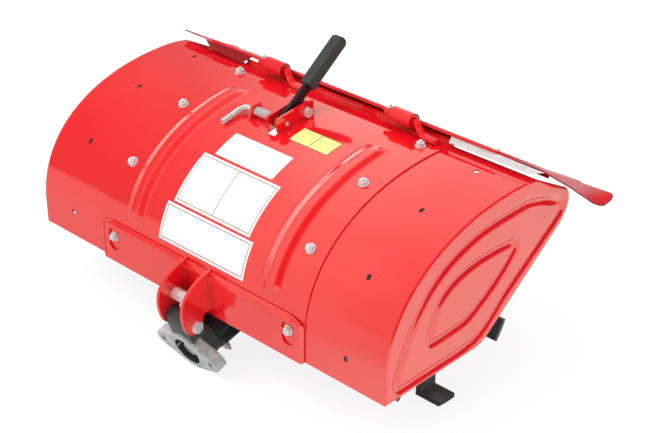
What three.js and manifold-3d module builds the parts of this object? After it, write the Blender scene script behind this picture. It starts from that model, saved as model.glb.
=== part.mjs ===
// A rear-mounted rotavator: a sheet-steel hood over a tined rotor, driven through a
// two-bolt coupling at the front, with a hinged levelling flap behind and a depth lever on top.
// Millimetres. +X is the machine's right end, -Y the coupling end, +Z up.
// Sections are drawn in a plane through the hood's front bottom edge (y = 0, z = 0) and
// the finished assembly is moved so that its origin is the middle of the floor under it.

import * as THREE from 'three';
import { mergeVertices } from 'three/addons/utils/BufferGeometryUtils.js';
import Module from 'manifold-3d';

const wasm = await Module();
wasm.setup();

// ---------------------------------------------------------------- driving dimensions

const SHEET = 2; // wall of the hood, its extensions, end caps and flap
const GAP = 0.3; // between pieces that are bolted or welded face to face

const HALF_WIDTH = 400; // centre to the outer face of an end cap
const CENTRE_HALF = 236; // half width of the hood's centre section
const EXTENSION_INNER = 180; // where an extension ends under the centre section
const BOLT_COLUMN = 205; // bolts that hold an extension
const SPARE_COLUMN = 320; // holes left free for the narrow settings
const SPARE_HOLE_RADIUS = 4.5;
const SPARE_SHARES = [0.095, 0.362, 0.632, 0.895]; // places of the spare holes along the section

const ROTOR = { y: 196, z: 40 }; // rotor axis
const HOOD_FRONT = 40; // height of the hood's upright front
const HOOD_CROWN = { y: 290, z: 247, rise: 130, lead: 175, trail: 28 }; // top, and the pull of the curves
const HOOD_REAR = { y: 342, z: 241 }; // rear edge of the hood sheet
const HOOD_LIP = { front: 340.2, top: 251.5 }; // upright lip on the centre section's rear edge
const TAIL_TOP = { y: 413, z: 202 }; // end cap, top rear corner
const TAIL_LOW = { y: 428, z: 152 };
const TAIL_FOOT = { y: 240, z: 13 };
const CAP_RIM_DEPTH = 12;
const LEVER_SLOT = { front: 178, rear: 272 }; // slot in the hood that the lever passes through

const RIB = { x: 156, halfWidth: 21, height: 5.5, start: 0.12, end: 0.83 };

const STRIP = { halfWidth: 233, top: 66, thick: 3, lip: 22 };
const STRIP_SLOT = { width: 26, height: 42, z: 41 };

const EAR = { inner: 25, thick: 6 };
const CROSS_BOLT = { y: -38, z: -10, radius: 6 };

const COUPLING_TILT = THREE.MathUtils.degToRad(22); // nose-down, as the machine stands
const COUPLING = { y: -32, z: -76 }; // middle of the flange face
const FLANGE = { bolt: 55, hole: 5.5, hub: 37, tip: 17, thick: 20, bore: 27, boreDepth: 44 };

const NECK = { radius: 34, end: 46 }; // grey casting, measured back along the coupling axis
const HOUSING = { front: 36, rear: 46, end: 178 }; // radii at both ends, and its rear end
const LUG_RADIUS = 15;
const GEARCASE = { radius: 62, half: 36, boss: 40, bossReach: 14 };
const MOUNT = { half: 32, web: 6, front: 118, rear: 160, footFront: 96, footRear: 168, pad: 5 };
const SHAFT_RADIUS = 20;
const SHAFT_HALF = 340;

const TINE_RADIUS = 152;
const STAR_X = [76, 186, 311];
const STAR_PHASE = [15, 45, -32]; // degrees, so that the stars cut one after the other
const STAR_TINES = [4, 4, 6]; // the outer stars cut the full depth at the machine's ends
const TINE = { root: 34, shoulder: 110, arm: 36, thick: 8, foot: 48, span: 15 };
const STAR_FLANGE = { radius: 62, thick: 6 };

const LEVER = {
  x: -12, half: 3, pivotY: 247, pivotZ: 258, pivotRadius: 6, nut: 9.4, hub: 15, armHalf: 9, armEnd: 88,
  slope: THREE.MathUtils.degToRad(37.2),
};
const GRIP = { half: 10.5, side: 9.5, start: 71, end: 171, taper: 5.5 };
const LOCK = { y: 202, z: 252, radius: 4.6, orbit: 45 };
const BRACKET = { thick: 5, clear: 5 };

const HINGE = { y: 322, z: 269, x: 145, rod: 6, tubeOuter: 13, tubeInner: 7, length: 44 };
const HINGE_FOOT = { front: 307, rear: 324, near: 18, far: 54, thick: 6.5 }; // places from the tube's end
const FLAP_SLOPE = THREE.MathUtils.degToRad(31.5);
const FLAP_TOP = 274; // height of the flap's plane over the hinge axis's place
const FLAP = { front: 16.4, rear: 196, half: 322, frontFold: 4, rearFold: 12 };

// A wing's front and rear edge from its inner end to its tip: x, distance down the flap, height.
const WING_UNDER = -SHEET - GAP;
const WING = [
  [[232, 20, WING_UNDER], [232, 192, WING_UNDER]],
  [[324, 20, WING_UNDER], [324, 192, WING_UNDER]],
  [[345, 20, WING_UNDER], [338, 193, 1.2]],
  [[398, 22, -2.2], [372, 194, 2.2]],
  [[404, 28, -3.0], [375, 194, 2.3]],
  [[424, 90, -11.0], [378, 194, 2.4]],
  [[427, 97, -12.4], [382, 194, 0.6]],
  [[438, 142, -20.2], [424, 196, 2.2]],
  [[440, 152, -21.0], [432, 196.5, 2.6]],
  [[442, 161, -20.8], [438, 196, 2.0]],
  [[443.6, 169, -19.6], [441.5, 194, -1.0]],
  [[444.6, 176, -17.0], [443.6, 190, -6.0]],
];

// ---------------------------------------------------------------- shared geometry

/** Closed BufferGeometry to solid. */
function solid(geometry) {
  const bare = geometry.clone();
  bare.deleteAttribute('normal');
  bare.deleteAttribute('uv');
  const merged = mergeVertices(bare, 1e-4);
  return new wasm.Manifold(new wasm.Mesh({
    numProp: 3,
    vertProperties: new Float32Array(merged.attributes.position.array),
    triVerts: new Uint32Array(merged.index.array),
  }));
}

/** Solid back to BufferGeometry. */
function geometryOf(body) {
  const mesh = body.getMesh();
  const geometry = new THREE.BufferGeometry();
  geometry.setAttribute('position', new THREE.BufferAttribute(new Float32Array(mesh.vertProperties), 3));
  geometry.setIndex(new THREE.BufferAttribute(new Uint32Array(mesh.triVerts), 1));
  return geometry;
}

const join = (...bodies) => bodies.reduce((sum, body) => sum.add(body));
const cut = (body, ...tools) => tools.reduce((rest, tool) => rest.subtract(tool), body);

/** Round hole for a shape. */
const roundHole = (a, b, radius) => new THREE.Path().absarc(a, b, radius, 0, Math.PI * 2);

/** Shape drawn in (y, z), extruded along X from x0 to x1. */
function slab(shape, x0, x1, curveSegments = 12) {
  const geometry = new THREE.ExtrudeGeometry(shape, { depth: x1 - x0, bevelEnabled: false, curveSegments });
  const place = new THREE.Matrix4().makeBasis(
    new THREE.Vector3(0, 1, 0), new THREE.Vector3(0, 0, 1), new THREE.Vector3(1, 0, 0),
  ).setPosition(x0, 0, 0);
  return solid(geometry.applyMatrix4(place));
}

/** Round bar along X. */
function barX(radius, x0, x1, y, z, sides = 24) {
  const geometry = new THREE.CylinderGeometry(radius, radius, x1 - x0, sides);
  geometry.rotateZ(-Math.PI / 2).translate((x0 + x1) / 2, y, z);
  return solid(geometry);
}

/** Box between two corners. */
function block(x0, x1, y0, y1, z0, z1) {
  const geometry = new THREE.BoxGeometry(x1 - x0, y1 - y0, z1 - z0);
  return solid(geometry.translate((x0 + x1) / 2, (y0 + y1) / 2, (z0 + z1) / 2));
}

/** Round rod that follows points. */
function rod(points, radius, sides = 12, steps = 24) {
  const disc = new THREE.Shape().absarc(0, 0, radius, 0, Math.PI * 2);
  const path = new THREE.CatmullRomCurve3(points, false, 'centripetal');
  return solid(new THREE.ExtrudeGeometry(disc, { extrudePath: path, steps, curveSegments: sides }));
}

/** Closed outline moved outwards by a distance (points run counter-clockwise). */
function offsetLoop(points, distance) {
  return points.map((point, i) => {
    const before = points[(i + points.length - 1) % points.length];
    const after = points[(i + 1) % points.length];
    const into = point.clone().sub(before).normalize();
    const out = after.clone().sub(point).normalize();
    const normal = new THREE.Vector2(into.y + out.y, -into.x - out.x).normalize();
    const stretch = normal.dot(new THREE.Vector2(into.y, -into.x));
    return point.clone().addScaledVector(normal, distance / Math.max(stretch, 0.5));
  });
}

/** Plate between two surfaces, each given as a grid of points rows[i][j]. */
function shell(outer, inner) {
  const rows = outer.length;
  const columns = outer[0].length;
  const positions = [];
  const index = [];
  for (const p of [outer, inner].flat(2)) positions.push(p.x, p.y, p.z);
  const at = (side, i, j) => side * rows * columns + i * columns + j;
  const quad = (a, b, c, d) => index.push(a, c, b, a, d, c);
  for (let i = 0; i < rows - 1; i++) {
    for (let j = 0; j < columns - 1; j++) {
      quad(at(0, i, j), at(0, i + 1, j), at(0, i + 1, j + 1), at(0, i, j + 1));
      quad(at(1, i, j), at(1, i, j + 1), at(1, i + 1, j + 1), at(1, i + 1, j));
    }
  }
  for (let i = 0; i < rows - 1; i++) {
    quad(at(0, i, 0), at(1, i, 0), at(1, i + 1, 0), at(0, i + 1, 0));
    const last = columns - 1;
    quad(at(0, i + 1, last), at(1, i + 1, last), at(1, i, last), at(0, i, last));
  }
  for (let j = 0; j < columns - 1; j++) {
    quad(at(0, 0, j + 1), at(1, 0, j + 1), at(1, 0, j), at(0, 0, j));
    quad(at(0, rows - 1, j), at(1, rows - 1, j), at(1, rows - 1, j + 1), at(0, rows - 1, j + 1));
  }
  const geometry = new THREE.BufferGeometry();
  geometry.setAttribute('position', new THREE.Float32BufferAttribute(positions, 3));
  geometry.setIndex(index);
  return solid(geometry);
}

// ---------------------------------------------------------------- hood section

/** The hood's section from its front bottom edge over the top to its rear edge. */
function hoodCurve() {
  const path = new THREE.Path();
  path.moveTo(0, 0);
  path.lineTo(0, HOOD_FRONT);
  const { y, z, rise, lead, trail } = HOOD_CROWN;
  path.bezierCurveTo(0, HOOD_FRONT + rise, y - lead, z, y, z);
  path.quadraticCurveTo(y + trail, z, HOOD_REAR.y, HOOD_REAR.z);
  return path;
}

const ARCH_STEPS = 22;
const TAIL_STEPS = 4;

/** Points and outward normals along the hood's section. */
function hoodStations() {
  const [front, arch, tail] = hoodCurve().curves;
  const stations = [{ point: front.getPoint(0), normal: new THREE.Vector2(-1, 0) }];
  const follow = (curve, first, steps) => {
    for (let i = first; i <= steps; i++) {
      const tangent = curve.getTangent(i / steps);
      const normal = new THREE.Vector2(-tangent.y, tangent.x);
      stations.push({ point: curve.getPoint(i / steps), normal });
    }
  };
  follow(arch, 0, ARCH_STEPS);
  follow(tail, 1, TAIL_STEPS);
  let run = 0;
  stations.forEach((station, i) => {
    if (i > 0) run += station.point.distanceTo(stations[i - 1].point);
    station.run = run;
  });
  stations.forEach((station) => { station.share = station.run / run; });
  return stations;
}

/** Point and normal at a share of the section's length. */
function sectionAt(stations, share) {
  const after = stations.findIndex((station) => station.share >= share);
  const [a, b] = [stations[after - 1], stations[after]];
  const t = (share - a.share) / (b.share - a.share);
  const normal = a.normal.clone().lerp(b.normal, t).normalize();
  return { point: a.point.clone().lerp(b.point, t), normal };
}

/** Outline points just above the centre section, at places behind its front edge. */
function standingOn(...places) {
  const stations = hoodStations();
  return places.map((y) => {
    const after = stations.findIndex((station, i) => i > 1 && station.point.x >= y);
    const [a, b] = [stations[after - 1], stations[after]];
    const t = (y - a.point.x) / (b.point.x - a.point.x);
    const normal = a.normal.clone().lerp(b.normal, t).normalize();
    return new THREE.Vector2(y, THREE.MathUtils.lerp(a.point.y, b.point.y, t) + (SHEET + 2 * GAP) / normal.y);
  });
}

/** Height of a pressed rib, across it and along the section. */
function ribHeight(x, share) {
  const across = Math.abs(Math.abs(x) - RIB.x) / RIB.halfWidth;
  const wide = THREE.MathUtils.smoothstep(1 - across, 0, 0.55);
  const long = THREE.MathUtils.smoothstep(share, RIB.start, RIB.start + 0.06)
    * (1 - THREE.MathUtils.smoothstep(share, RIB.end - 0.05, RIB.end));
  return RIB.height * wide * long;
}

/** Centre section with its two pressed ribs, its rear lip and the slot that the lever passes through. */
function hoodCentre() {
  const ribSides = [-1, -0.72, -0.45, 0, 0.45, 0.72, 1].map((k) => k * RIB.halfWidth);
  const ribs = [-RIB.x, RIB.x].map((middle) => ribSides.map((d) => middle + d));
  const columns = [-CENTRE_HALF, ...ribs[0], 0, ...ribs[1], CENTRE_HALF];
  const surface = (offset) => hoodStations().map(({ point, normal, share }) => columns.map((x) => {
    const p = point.clone().addScaledVector(normal, offset + ribHeight(x, share));
    return new THREE.Vector3(x, p.x, p.y);
  }));
  const half = LEVER.half + BRACKET.clear;
  const slot = block(LEVER.x - half, LEVER.x + half, LEVER_SLOT.front, LEVER_SLOT.rear, 200, 260);
  const { front, top } = HOOD_LIP;
  const lip = block(-CENTRE_HALF, CENTRE_HALF, front, front + SHEET, HOOD_REAR.z + 1.2, top);
  return join(cut(shell(surface(GAP + SHEET), surface(GAP)), slot), lip);
}

/** Extension sheet of the right side; the bolt holes of the narrow settings are open. */
function hoodExtension() {
  const stations = hoodStations();
  const columns = [EXTENSION_INNER, HALF_WIDTH - SHEET - GAP];
  const surface = (offset) => stations.map(({ point, normal }) => columns.map((x) => {
    const p = point.clone().addScaledVector(normal, offset);
    return new THREE.Vector3(x, p.x, p.y);
  }));
  const sheet = shell(surface(0), surface(-SHEET));
  const holes = SPARE_SHARES.map((share) => {
    const near = sectionAt(stations, share);
    const drill = new THREE.CylinderGeometry(SPARE_HOLE_RADIUS, SPARE_HOLE_RADIUS, 30, 12);
    const turn = new THREE.Quaternion().setFromUnitVectors(
      new THREE.Vector3(0, 1, 0), new THREE.Vector3(0, near.normal.x, near.normal.y),
    );
    drill.applyQuaternion(turn).translate(SPARE_COLUMN, near.point.x, near.point.y);
    return solid(drill);
  });
  return cut(sheet, ...holes);
}

/** Outline of an end cap, counter-clockwise in (y, z). */
function capOutline() {
  const shape = new THREE.Shape();
  shape.moveTo(0, 0);
  shape.lineTo(204, 0);
  shape.quadraticCurveTo(222, 0, TAIL_FOOT.y, TAIL_FOOT.z);
  shape.lineTo(TAIL_LOW.y - 22, TAIL_LOW.z - 16.4);
  shape.bezierCurveTo(
    TAIL_LOW.y + 2, TAIL_LOW.z + 2, TAIL_LOW.y + 14, TAIL_TOP.z - 12, TAIL_TOP.y, TAIL_TOP.z,
  );
  shape.lineTo(HOOD_REAR.y, HOOD_REAR.z);
  const forward = hoodStations().map(({ point }) => point).reverse();
  const points = shape.getPoints(8).slice(0, -1);
  return [...points, ...forward.slice(0, -1)];
}

/** End cap of the right side: a pressed plate with a folded rim. */
function endCap() {
  const outline = capOutline();
  const plate = slab(new THREE.Shape(outline), HALF_WIDTH - SHEET, HALF_WIDTH);
  const rim = new THREE.Shape(offsetLoop(outline, -SHEET - GAP));
  rim.holes.push(new THREE.Path(offsetLoop(outline, -2 * SHEET - GAP)));
  return join(plate, slab(rim, HALF_WIDTH - CAP_RIM_DEPTH, HALF_WIDTH - SHEET / 2));
}

// ---------------------------------------------------------------- front strip and ears

/** Stiffening angle along the centre section's front edge, with the slots round its bolts. */
function frontStrip() {
  const back = -(GAP + SHEET) - GAP;
  const face = back - STRIP.thick;
  const web = block(-STRIP.halfWidth, STRIP.halfWidth, face, back, -GAP - STRIP.thick, STRIP.top);
  const lip = block(-STRIP.halfWidth, STRIP.halfWidth, face, STRIP.lip, -GAP - STRIP.thick, -GAP);
  const rise = (STRIP_SLOT.height - STRIP_SLOT.width) / 2;
  const slots = [-BOLT_COLUMN, BOLT_COLUMN].map((x) => {
    const half = STRIP_SLOT.width / 2;
    const drill = new THREE.CylinderGeometry(half, half, 2 * STRIP.thick, 16);
    const upper = solid(drill.clone().translate(x, (face + back) / 2, STRIP_SLOT.z + rise));
    const lower = solid(drill.clone().translate(x, (face + back) / 2, STRIP_SLOT.z - rise));
    const middle = block(x - half, x + half, face - 1, back + 1, STRIP_SLOT.z - rise, STRIP_SLOT.z + rise);
    return join(upper, lower, middle);
  });
  return cut(join(web, lip), ...slots);
}

/** One D-shaped ear of the coupling, standing on the strip. */
function couplingEar(side) {
  const root = -(GAP + SHEET) - 2 * GAP - STRIP.thick;
  const shape = new THREE.Shape();
  shape.moveTo(root, 6);
  shape.lineTo(root, STRIP.top + GAP);
  shape.lineTo(-2.2, STRIP.top + GAP);
  shape.lineTo(0.6, 78);
  shape.bezierCurveTo(-34, 70, -62, 52, -64, 26);
  shape.bezierCurveTo(-65, 8, -60, -12, -52, -20);
  shape.quadraticCurveTo(-44, -27, -34, -25);
  shape.quadraticCurveTo(-22, -22, -22, -9);
  shape.quadraticCurveTo(-21, 4, -14, 5);
  shape.closePath();
  shape.holes.push(roundHole(CROSS_BOLT.y, CROSS_BOLT.z, CROSS_BOLT.radius + GAP));
  const near = side * EAR.inner;
  const far = side * (EAR.inner + EAR.thick);
  return slab(shape, Math.min(near, far), Math.max(near, far), 8);
}

/** Bolt through both ears and the casting's lug, with its head on the right. */
function crossBolt() {
  const outside = EAR.inner + EAR.thick + GAP;
  const shank = barX(CROSS_BOLT.radius, -outside - 12, outside + 1, CROSS_BOLT.y, CROSS_BOLT.z, 16);
  const head = barX(11, outside, outside + 8, CROSS_BOLT.y, CROSS_BOLT.z, 6);
  const nut = barX(11, -outside - 10, -outside, CROSS_BOLT.y, CROSS_BOLT.z, 6);
  return join(shank, head, nut);
}

// ---------------------------------------------------------------- coupling and drive

/** Local frame of the coupling: X across, Y up the flange, Z out of its face. */
function couplingFrame() {
  const face = new THREE.Vector3(0, -Math.cos(COUPLING_TILT), -Math.sin(COUPLING_TILT));
  const up = new THREE.Vector3(0, -Math.sin(COUPLING_TILT), Math.cos(COUPLING_TILT));
  return new THREE.Matrix4().makeBasis(new THREE.Vector3(1, 0, 0), up, face)
    .setPosition(0, COUPLING.y, COUPLING.z);
}

/** Round piece along the coupling axis, between two distances behind the flange face. */
function turned(radiusFront, radiusBack, front, back, sides = 32) {
  const geometry = new THREE.CylinderGeometry(radiusFront, radiusBack, back - front, sides);
  geometry.rotateX(Math.PI / 2).translate(0, 0, -(front + back) / 2);
  return solid(geometry.applyMatrix4(couplingFrame()));
}

/** Cast two-bolt flange with its neck and the lug that the ears hold. */
function couplingFlange() {
  const reach = Math.acos((FLANGE.hub - FLANGE.tip) / FLANGE.bolt);
  const plate = new THREE.Shape();
  plate.absarc(FLANGE.bolt, 0, FLANGE.tip, -reach, reach);
  plate.absarc(0, 0, FLANGE.hub, reach, Math.PI - reach);
  plate.absarc(-FLANGE.bolt, 0, FLANGE.tip, Math.PI - reach, Math.PI + reach);
  plate.absarc(0, 0, FLANGE.hub, Math.PI + reach, 2 * Math.PI - reach);
  for (const side of [-1, 1]) {
    plate.holes.push(roundHole(side * FLANGE.bolt, 0, FLANGE.hole));
  }
  const settings = { depth: FLANGE.thick, bevelEnabled: false, curveSegments: 8 };
  const geometry = new THREE.ExtrudeGeometry(plate, settings);
  geometry.translate(0, 0, -FLANGE.thick).applyMatrix4(couplingFrame());
  const neck = turned(NECK.radius, NECK.radius, FLANGE.thick - 1, NECK.end);
  const lugHalf = EAR.inner - GAP;
  const lug = new THREE.Shape();
  lug.moveTo(-53, -12);
  lug.absarc(CROSS_BOLT.y, CROSS_BOLT.z, LUG_RADIUS, Math.PI, 0, true);
  lug.lineTo(-6, -50);
  lug.lineTo(-34, -62);
  lug.closePath();
  const hole = barX(CROSS_BOLT.radius + GAP, -60, 60, CROSS_BOLT.y, CROSS_BOLT.z, 16);
  const bore = turned(FLANGE.bore, FLANGE.bore, -2, FLANGE.boreDepth);
  return cut(join(solid(geometry), neck, slab(lug, -lugHalf, lugHalf, 8)), hole, bore);
}

/** Black housing from the casting back to the gearcase. */
function driveHousing() {
  const cone = turned(HOUSING.front, HOUSING.rear, NECK.end + GAP, HOUSING.end);
  const room = barX(GEARCASE.radius + GAP, -80, 80, ROTOR.y, ROTOR.z, 40);
  return cut(cone, room);
}

/** Gearcase round the rotor shaft. */
function gearcase() {
  const drum = barX(GEARCASE.radius, -GEARCASE.half, GEARCASE.half, ROTOR.y, ROTOR.z, 40);
  const reach = GEARCASE.half + GEARCASE.bossReach;
  const bosses = barX(GEARCASE.boss, -reach, reach, ROTOR.y, ROTOR.z, 32);
  return cut(join(drum, bosses), barX(SHAFT_RADIUS + 0.5, -80, 80, ROTOR.y, ROTOR.z, 32));
}

/** Saddle that ties the gearcase to the underside of the hood. */
function hoodMount() {
  const { half, web, front, rear, footFront, footRear, pad } = MOUNT;
  const top = 250;
  const above = slab(new THREE.Shape(offsetLoop(capOutline(), -SHEET - GAP)), -half, half);
  const below = slab(new THREE.Shape(offsetLoop(capOutline(), -SHEET - GAP - pad)), -half - 1, half + 1);
  const hollow = block(-half + web, half - web, front - 1, rear + 1, GEARCASE.radius + 50, top);
  const column = cut(block(-half, half, front, rear, 60, top).intersect(above), hollow);
  const foot = cut(block(-half, half, footFront, footRear, 190, top).intersect(above), below);
  const room = barX(GEARCASE.radius + GAP, -80, 80, ROTOR.y, ROTOR.z, 40);
  return cut(join(column, foot), room);
}

// ---------------------------------------------------------------- rotor

/** Star of L-shaped tines on its flange; feet turn out or both ways. */
function tineStar(side, place) {
  const x = side * STAR_X[place];
  const half = STAR_FLANGE.thick / 2;
  const plate = barX(STAR_FLANGE.radius, x - half, x + half, ROTOR.y, ROTOR.z, 24);
  const tines = [];
  for (let k = 0; k < STAR_TINES[place]; k++) {
    const outward = place !== 1 || k % 2 === 0 ? side : -side;
    const span = THREE.MathUtils.degToRad(TINE.span / 2);
    const arm = new THREE.Shape();
    arm.moveTo(TINE.root, -TINE.arm / 2);
    arm.lineTo(TINE.shoulder, -TINE.arm / 2);
    arm.lineTo(TINE_RADIUS * Math.cos(span), -TINE_RADIUS * Math.sin(span));
    arm.absarc(0, 0, TINE_RADIUS, -span, span);
    arm.lineTo(TINE.shoulder, TINE.arm / 2);
    arm.lineTo(TINE.root, TINE.arm / 2);
    arm.closePath();
    const inner = TINE_RADIUS - TINE.thick;
    const foot = new THREE.Shape();
    foot.absarc(0, 0, TINE_RADIUS, -span, span);
    foot.absarc(0, 0, inner, span, -span, true);
    foot.closePath();
    const armNear = x + outward * half;
    const armFar = armNear + outward * TINE.thick;
    const footFar = armNear + outward * TINE.foot;
    const angle = THREE.MathUtils.degToRad(STAR_PHASE[place] + (360 / STAR_TINES[place]) * k);
    const place3 = new THREE.Matrix4().makeTranslation(0, ROTOR.y, ROTOR.z)
      .multiply(new THREE.Matrix4().makeRotationX(angle));
    const piece = (shape, a, b) => {
      const depth = Math.abs(b - a);
      const geometry = new THREE.ExtrudeGeometry(shape, { depth, bevelEnabled: false, curveSegments: 3 });
      const lie = new THREE.Matrix4().makeBasis(
        new THREE.Vector3(0, 1, 0), new THREE.Vector3(0, 0, 1), new THREE.Vector3(1, 0, 0),
      ).setPosition(Math.min(a, b), 0, 0);
      return solid(geometry.applyMatrix4(lie).applyMatrix4(place3));
    };
    tines.push(piece(arm, armNear, armFar), piece(foot, armNear, footFar));
  }
  return cut(join(plate, ...tines), barX(SHAFT_RADIUS + GAP, -400, 400, ROTOR.y, ROTOR.z, 24));
}

/** Three-jaw dog on the input shaft, inside the flange's bore. */
function inputDog() {
  const hub = turned(13, 13, 6, 41, 20);
  const disc = turned(21, 21, 20, 38, 24);
  const jaws = [0, 1, 2].map((k) => {
    const angle = (k / 3) * Math.PI * 2 + Math.PI / 2;
    const jaw = new THREE.Shape();
    jaw.absarc(0, 0, 21, angle - 0.42, angle + 0.42);
    jaw.absarc(0, 0, 13.5, angle + 0.42, angle - 0.42, true);
    jaw.closePath();
    const geometry = new THREE.ExtrudeGeometry(jaw, { depth: 12, bevelEnabled: false, curveSegments: 4 });
    return solid(geometry.translate(0, 0, -21).applyMatrix4(couplingFrame()));
  });
  return join(hub, disc, ...jaws);
}

// ---------------------------------------------------------------- depth lever

/** Outline of a bracket plate that stands on the hood beside the slot. */
function bracketPlate(x0) {
  const upper = [[263, 274], [252, 275], [182, 266], [178, 260]].map(([y, z]) => new THREE.Vector2(y, z));
  const shape = new THREE.Shape([...standingOn(184, 203, 223, 244, 264), ...upper]);
  shape.holes.push(roundHole(LEVER.pivotY, LEVER.pivotZ, LEVER.pivotRadius + GAP));
  shape.holes.push(roundHole(LOCK.y, LOCK.z, LOCK.radius + 0.4));
  return slab(shape, x0, x0 + BRACKET.thick, 8);
}

/** Point on the lever, along its arm from the pin holes and square to it. */
function onArm(along, across) {
  const c = Math.cos(LEVER.slope);
  const s = Math.sin(LEVER.slope);
  return new THREE.Vector2(206 + along * c - across * s, 252 + along * s + across * c);
}

/** Flat lever: arm, pivot hub, row of pin holes and the tail that goes through the hood. */
function depthLever() {
  const { armEnd, armHalf } = LEVER;
  const arm = new THREE.Shape([
    onArm(30, armHalf), onArm(armEnd, armHalf), onArm(armEnd, -armHalf), onArm(22, -armHalf),
    onArm(-12, -8), onArm(-14, 4), onArm(-6, 12),
  ]);
  const hub = new THREE.Shape().absarc(LEVER.pivotY, LEVER.pivotZ, LEVER.hub, 0, Math.PI * 2);
  const web = new THREE.Shape();
  web.moveTo(196, 242);
  web.lineTo(LEVER.pivotY, LEVER.pivotZ - LEVER.hub);
  web.lineTo(LEVER.pivotY + 2, LEVER.pivotZ + 13);
  web.quadraticCurveTo(226, 258, 224, 276);
  web.lineTo(200, 262);
  web.closePath();
  const tail = new THREE.Shape();
  tail.moveTo(236, 262);
  tail.lineTo(236, 222);
  tail.lineTo(241, 206);
  tail.lineTo(259, 206);
  tail.lineTo(254, 222);
  tail.lineTo(254, 262);
  tail.closePath();
  const x0 = LEVER.x - LEVER.half;
  const x1 = LEVER.x + LEVER.half;
  const flat = join(...[arm, hub, web, tail].map((shape) => slab(shape, x0, x1, 10)));
  const pivot = barX(LEVER.pivotRadius + GAP, x0 - 5, x1 + 5, LEVER.pivotY, LEVER.pivotZ, 16);
  const holes = [156, 168, 180, 192].map((degrees) => {
    const angle = THREE.MathUtils.degToRad(degrees);
    const y = LEVER.pivotY + LOCK.orbit * Math.cos(angle);
    const z = LEVER.pivotZ + LOCK.orbit * Math.sin(angle);
    return barX(3.6, x0 - 5, x1 + 5, y, z, 10);
  });
  return cut(flat, pivot, ...holes);
}

/** Rectangular grip, tapered at its end. */
function leverGrip() {
  const { half, side, start, end, taper } = GRIP;
  const outline = new THREE.Shape([
    onArm(start, -half), onArm(end - taper, -half), onArm(end, -half + taper),
    onArm(end, half - taper), onArm(end - taper, half), onArm(start, half),
  ]);
  const body = slab(outline, LEVER.x - side, LEVER.x + side);
  const [reach, wide] = [LEVER.armEnd + GAP, LEVER.armHalf + GAP];
  const pocket = new THREE.Shape([
    onArm(start - 6, -wide), onArm(reach, -wide), onArm(reach, wide), onArm(start - 6, wide),
  ]);
  return cut(body, slab(pocket, LEVER.x - LEVER.half - GAP, LEVER.x + LEVER.half + GAP));
}

/** Skid that the lever sets behind the gearcase. */
function depthSkid() {
  const outline = new THREE.Shape();
  outline.moveTo(238, 205.7);
  outline.lineTo(262, 205.7);
  outline.quadraticCurveTo(318, 160, 330, 90);
  outline.quadraticCurveTo(336, 30, 344, -8);
  outline.quadraticCurveTo(350, -40, 382, -56);
  outline.lineTo(376, -68);
  outline.quadraticCurveTo(336, -54, 326, -12);
  outline.quadraticCurveTo(318, 30, 308, 86);
  outline.quadraticCurveTo(296, 150, 238, 190);
  outline.closePath();
  return slab(outline, LEVER.x - 6, LEVER.x + 6, 8);
}

/** Bolt that the lever turns on. */
function pivotBolt() {
  const left = LEVER.x - LEVER.half - BRACKET.clear - BRACKET.thick - GAP;
  const right = LEVER.x + LEVER.half + BRACKET.clear + BRACKET.thick + GAP;
  const shank = barX(LEVER.pivotRadius, left - 9, right + 1, LEVER.pivotY, LEVER.pivotZ, 16);
  const head = barX(LEVER.nut, right, right + 7, LEVER.pivotY, LEVER.pivotZ, 6);
  const nut = barX(LEVER.nut, left - 8, left, LEVER.pivotY, LEVER.pivotZ, 6);
  return join(shank, head, nut);
}

/** Sprung lock pin with its bent handle; its nose stands in the left bracket plate. */
function lockPin() {
  const nose = LEVER.x - LEVER.half - 1;
  const points = [
    new THREE.Vector3(nose, LOCK.y, LOCK.z), new THREE.Vector3(-60, LOCK.y, LOCK.z),
    new THREE.Vector3(-78, LOCK.y, LOCK.z), new THREE.Vector3(-86, LOCK.y, LOCK.z),
    new THREE.Vector3(-96, LOCK.y - 4, LOCK.z - 1),
    new THREE.Vector3(-99, LOCK.y - 14, LOCK.z - 5), new THREE.Vector3(-102, LOCK.y - 47, LOCK.z - 15),
  ];
  return rod(points, LOCK.radius, 6, 22);
}

/** Small tab that guides the lock pin. */
function lockPinGuide() {
  const upper = [[213, 264], [193, 264]].map(([y, z]) => new THREE.Vector2(y, z));
  const shape = new THREE.Shape([...standingOn(186, 202, 218), ...upper]);
  shape.holes.push(new THREE.Path().absarc(LOCK.y, LOCK.z, LOCK.radius + 0.5, 0, Math.PI * 2));
  return slab(shape, -74, -70, 8);
}

/** Space that the lock pin's coil spring fills. */
function lockPinSpring() {
  const outer = barX(8, -69.5, -32, LOCK.y, LOCK.z, 16);
  return cut(outer, barX(LOCK.radius + 0.8, -80, -20, LOCK.y, LOCK.z, 16));
}

// ---------------------------------------------------------------- flap

/** Point on the flap plane: distance down its slope and height above it. */
function onFlap(x, down, above) {
  const c = Math.cos(FLAP_SLOPE);
  const s = Math.sin(FLAP_SLOPE);
  return new THREE.Vector3(x, HINGE.y + down * c + above * s, FLAP_TOP - down * s + above * c);
}

/** Sheet on the flap between front and rear edge points, each given as [x, down, above]. */
function flapSheet(edges, across) {
  const row = (share, offset) => edges.map(([front, rear]) => {
    const [x, down, above] = front.map((value, k) => THREE.MathUtils.lerp(value, rear[k], share));
    return onFlap(x, down, above + offset);
  });
  const surface = (offset) => Array.from({ length: across + 1 }, (_, i) => row(i / across, offset));
  return shell(surface(SHEET / 2), surface(-SHEET / 2));
}

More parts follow.
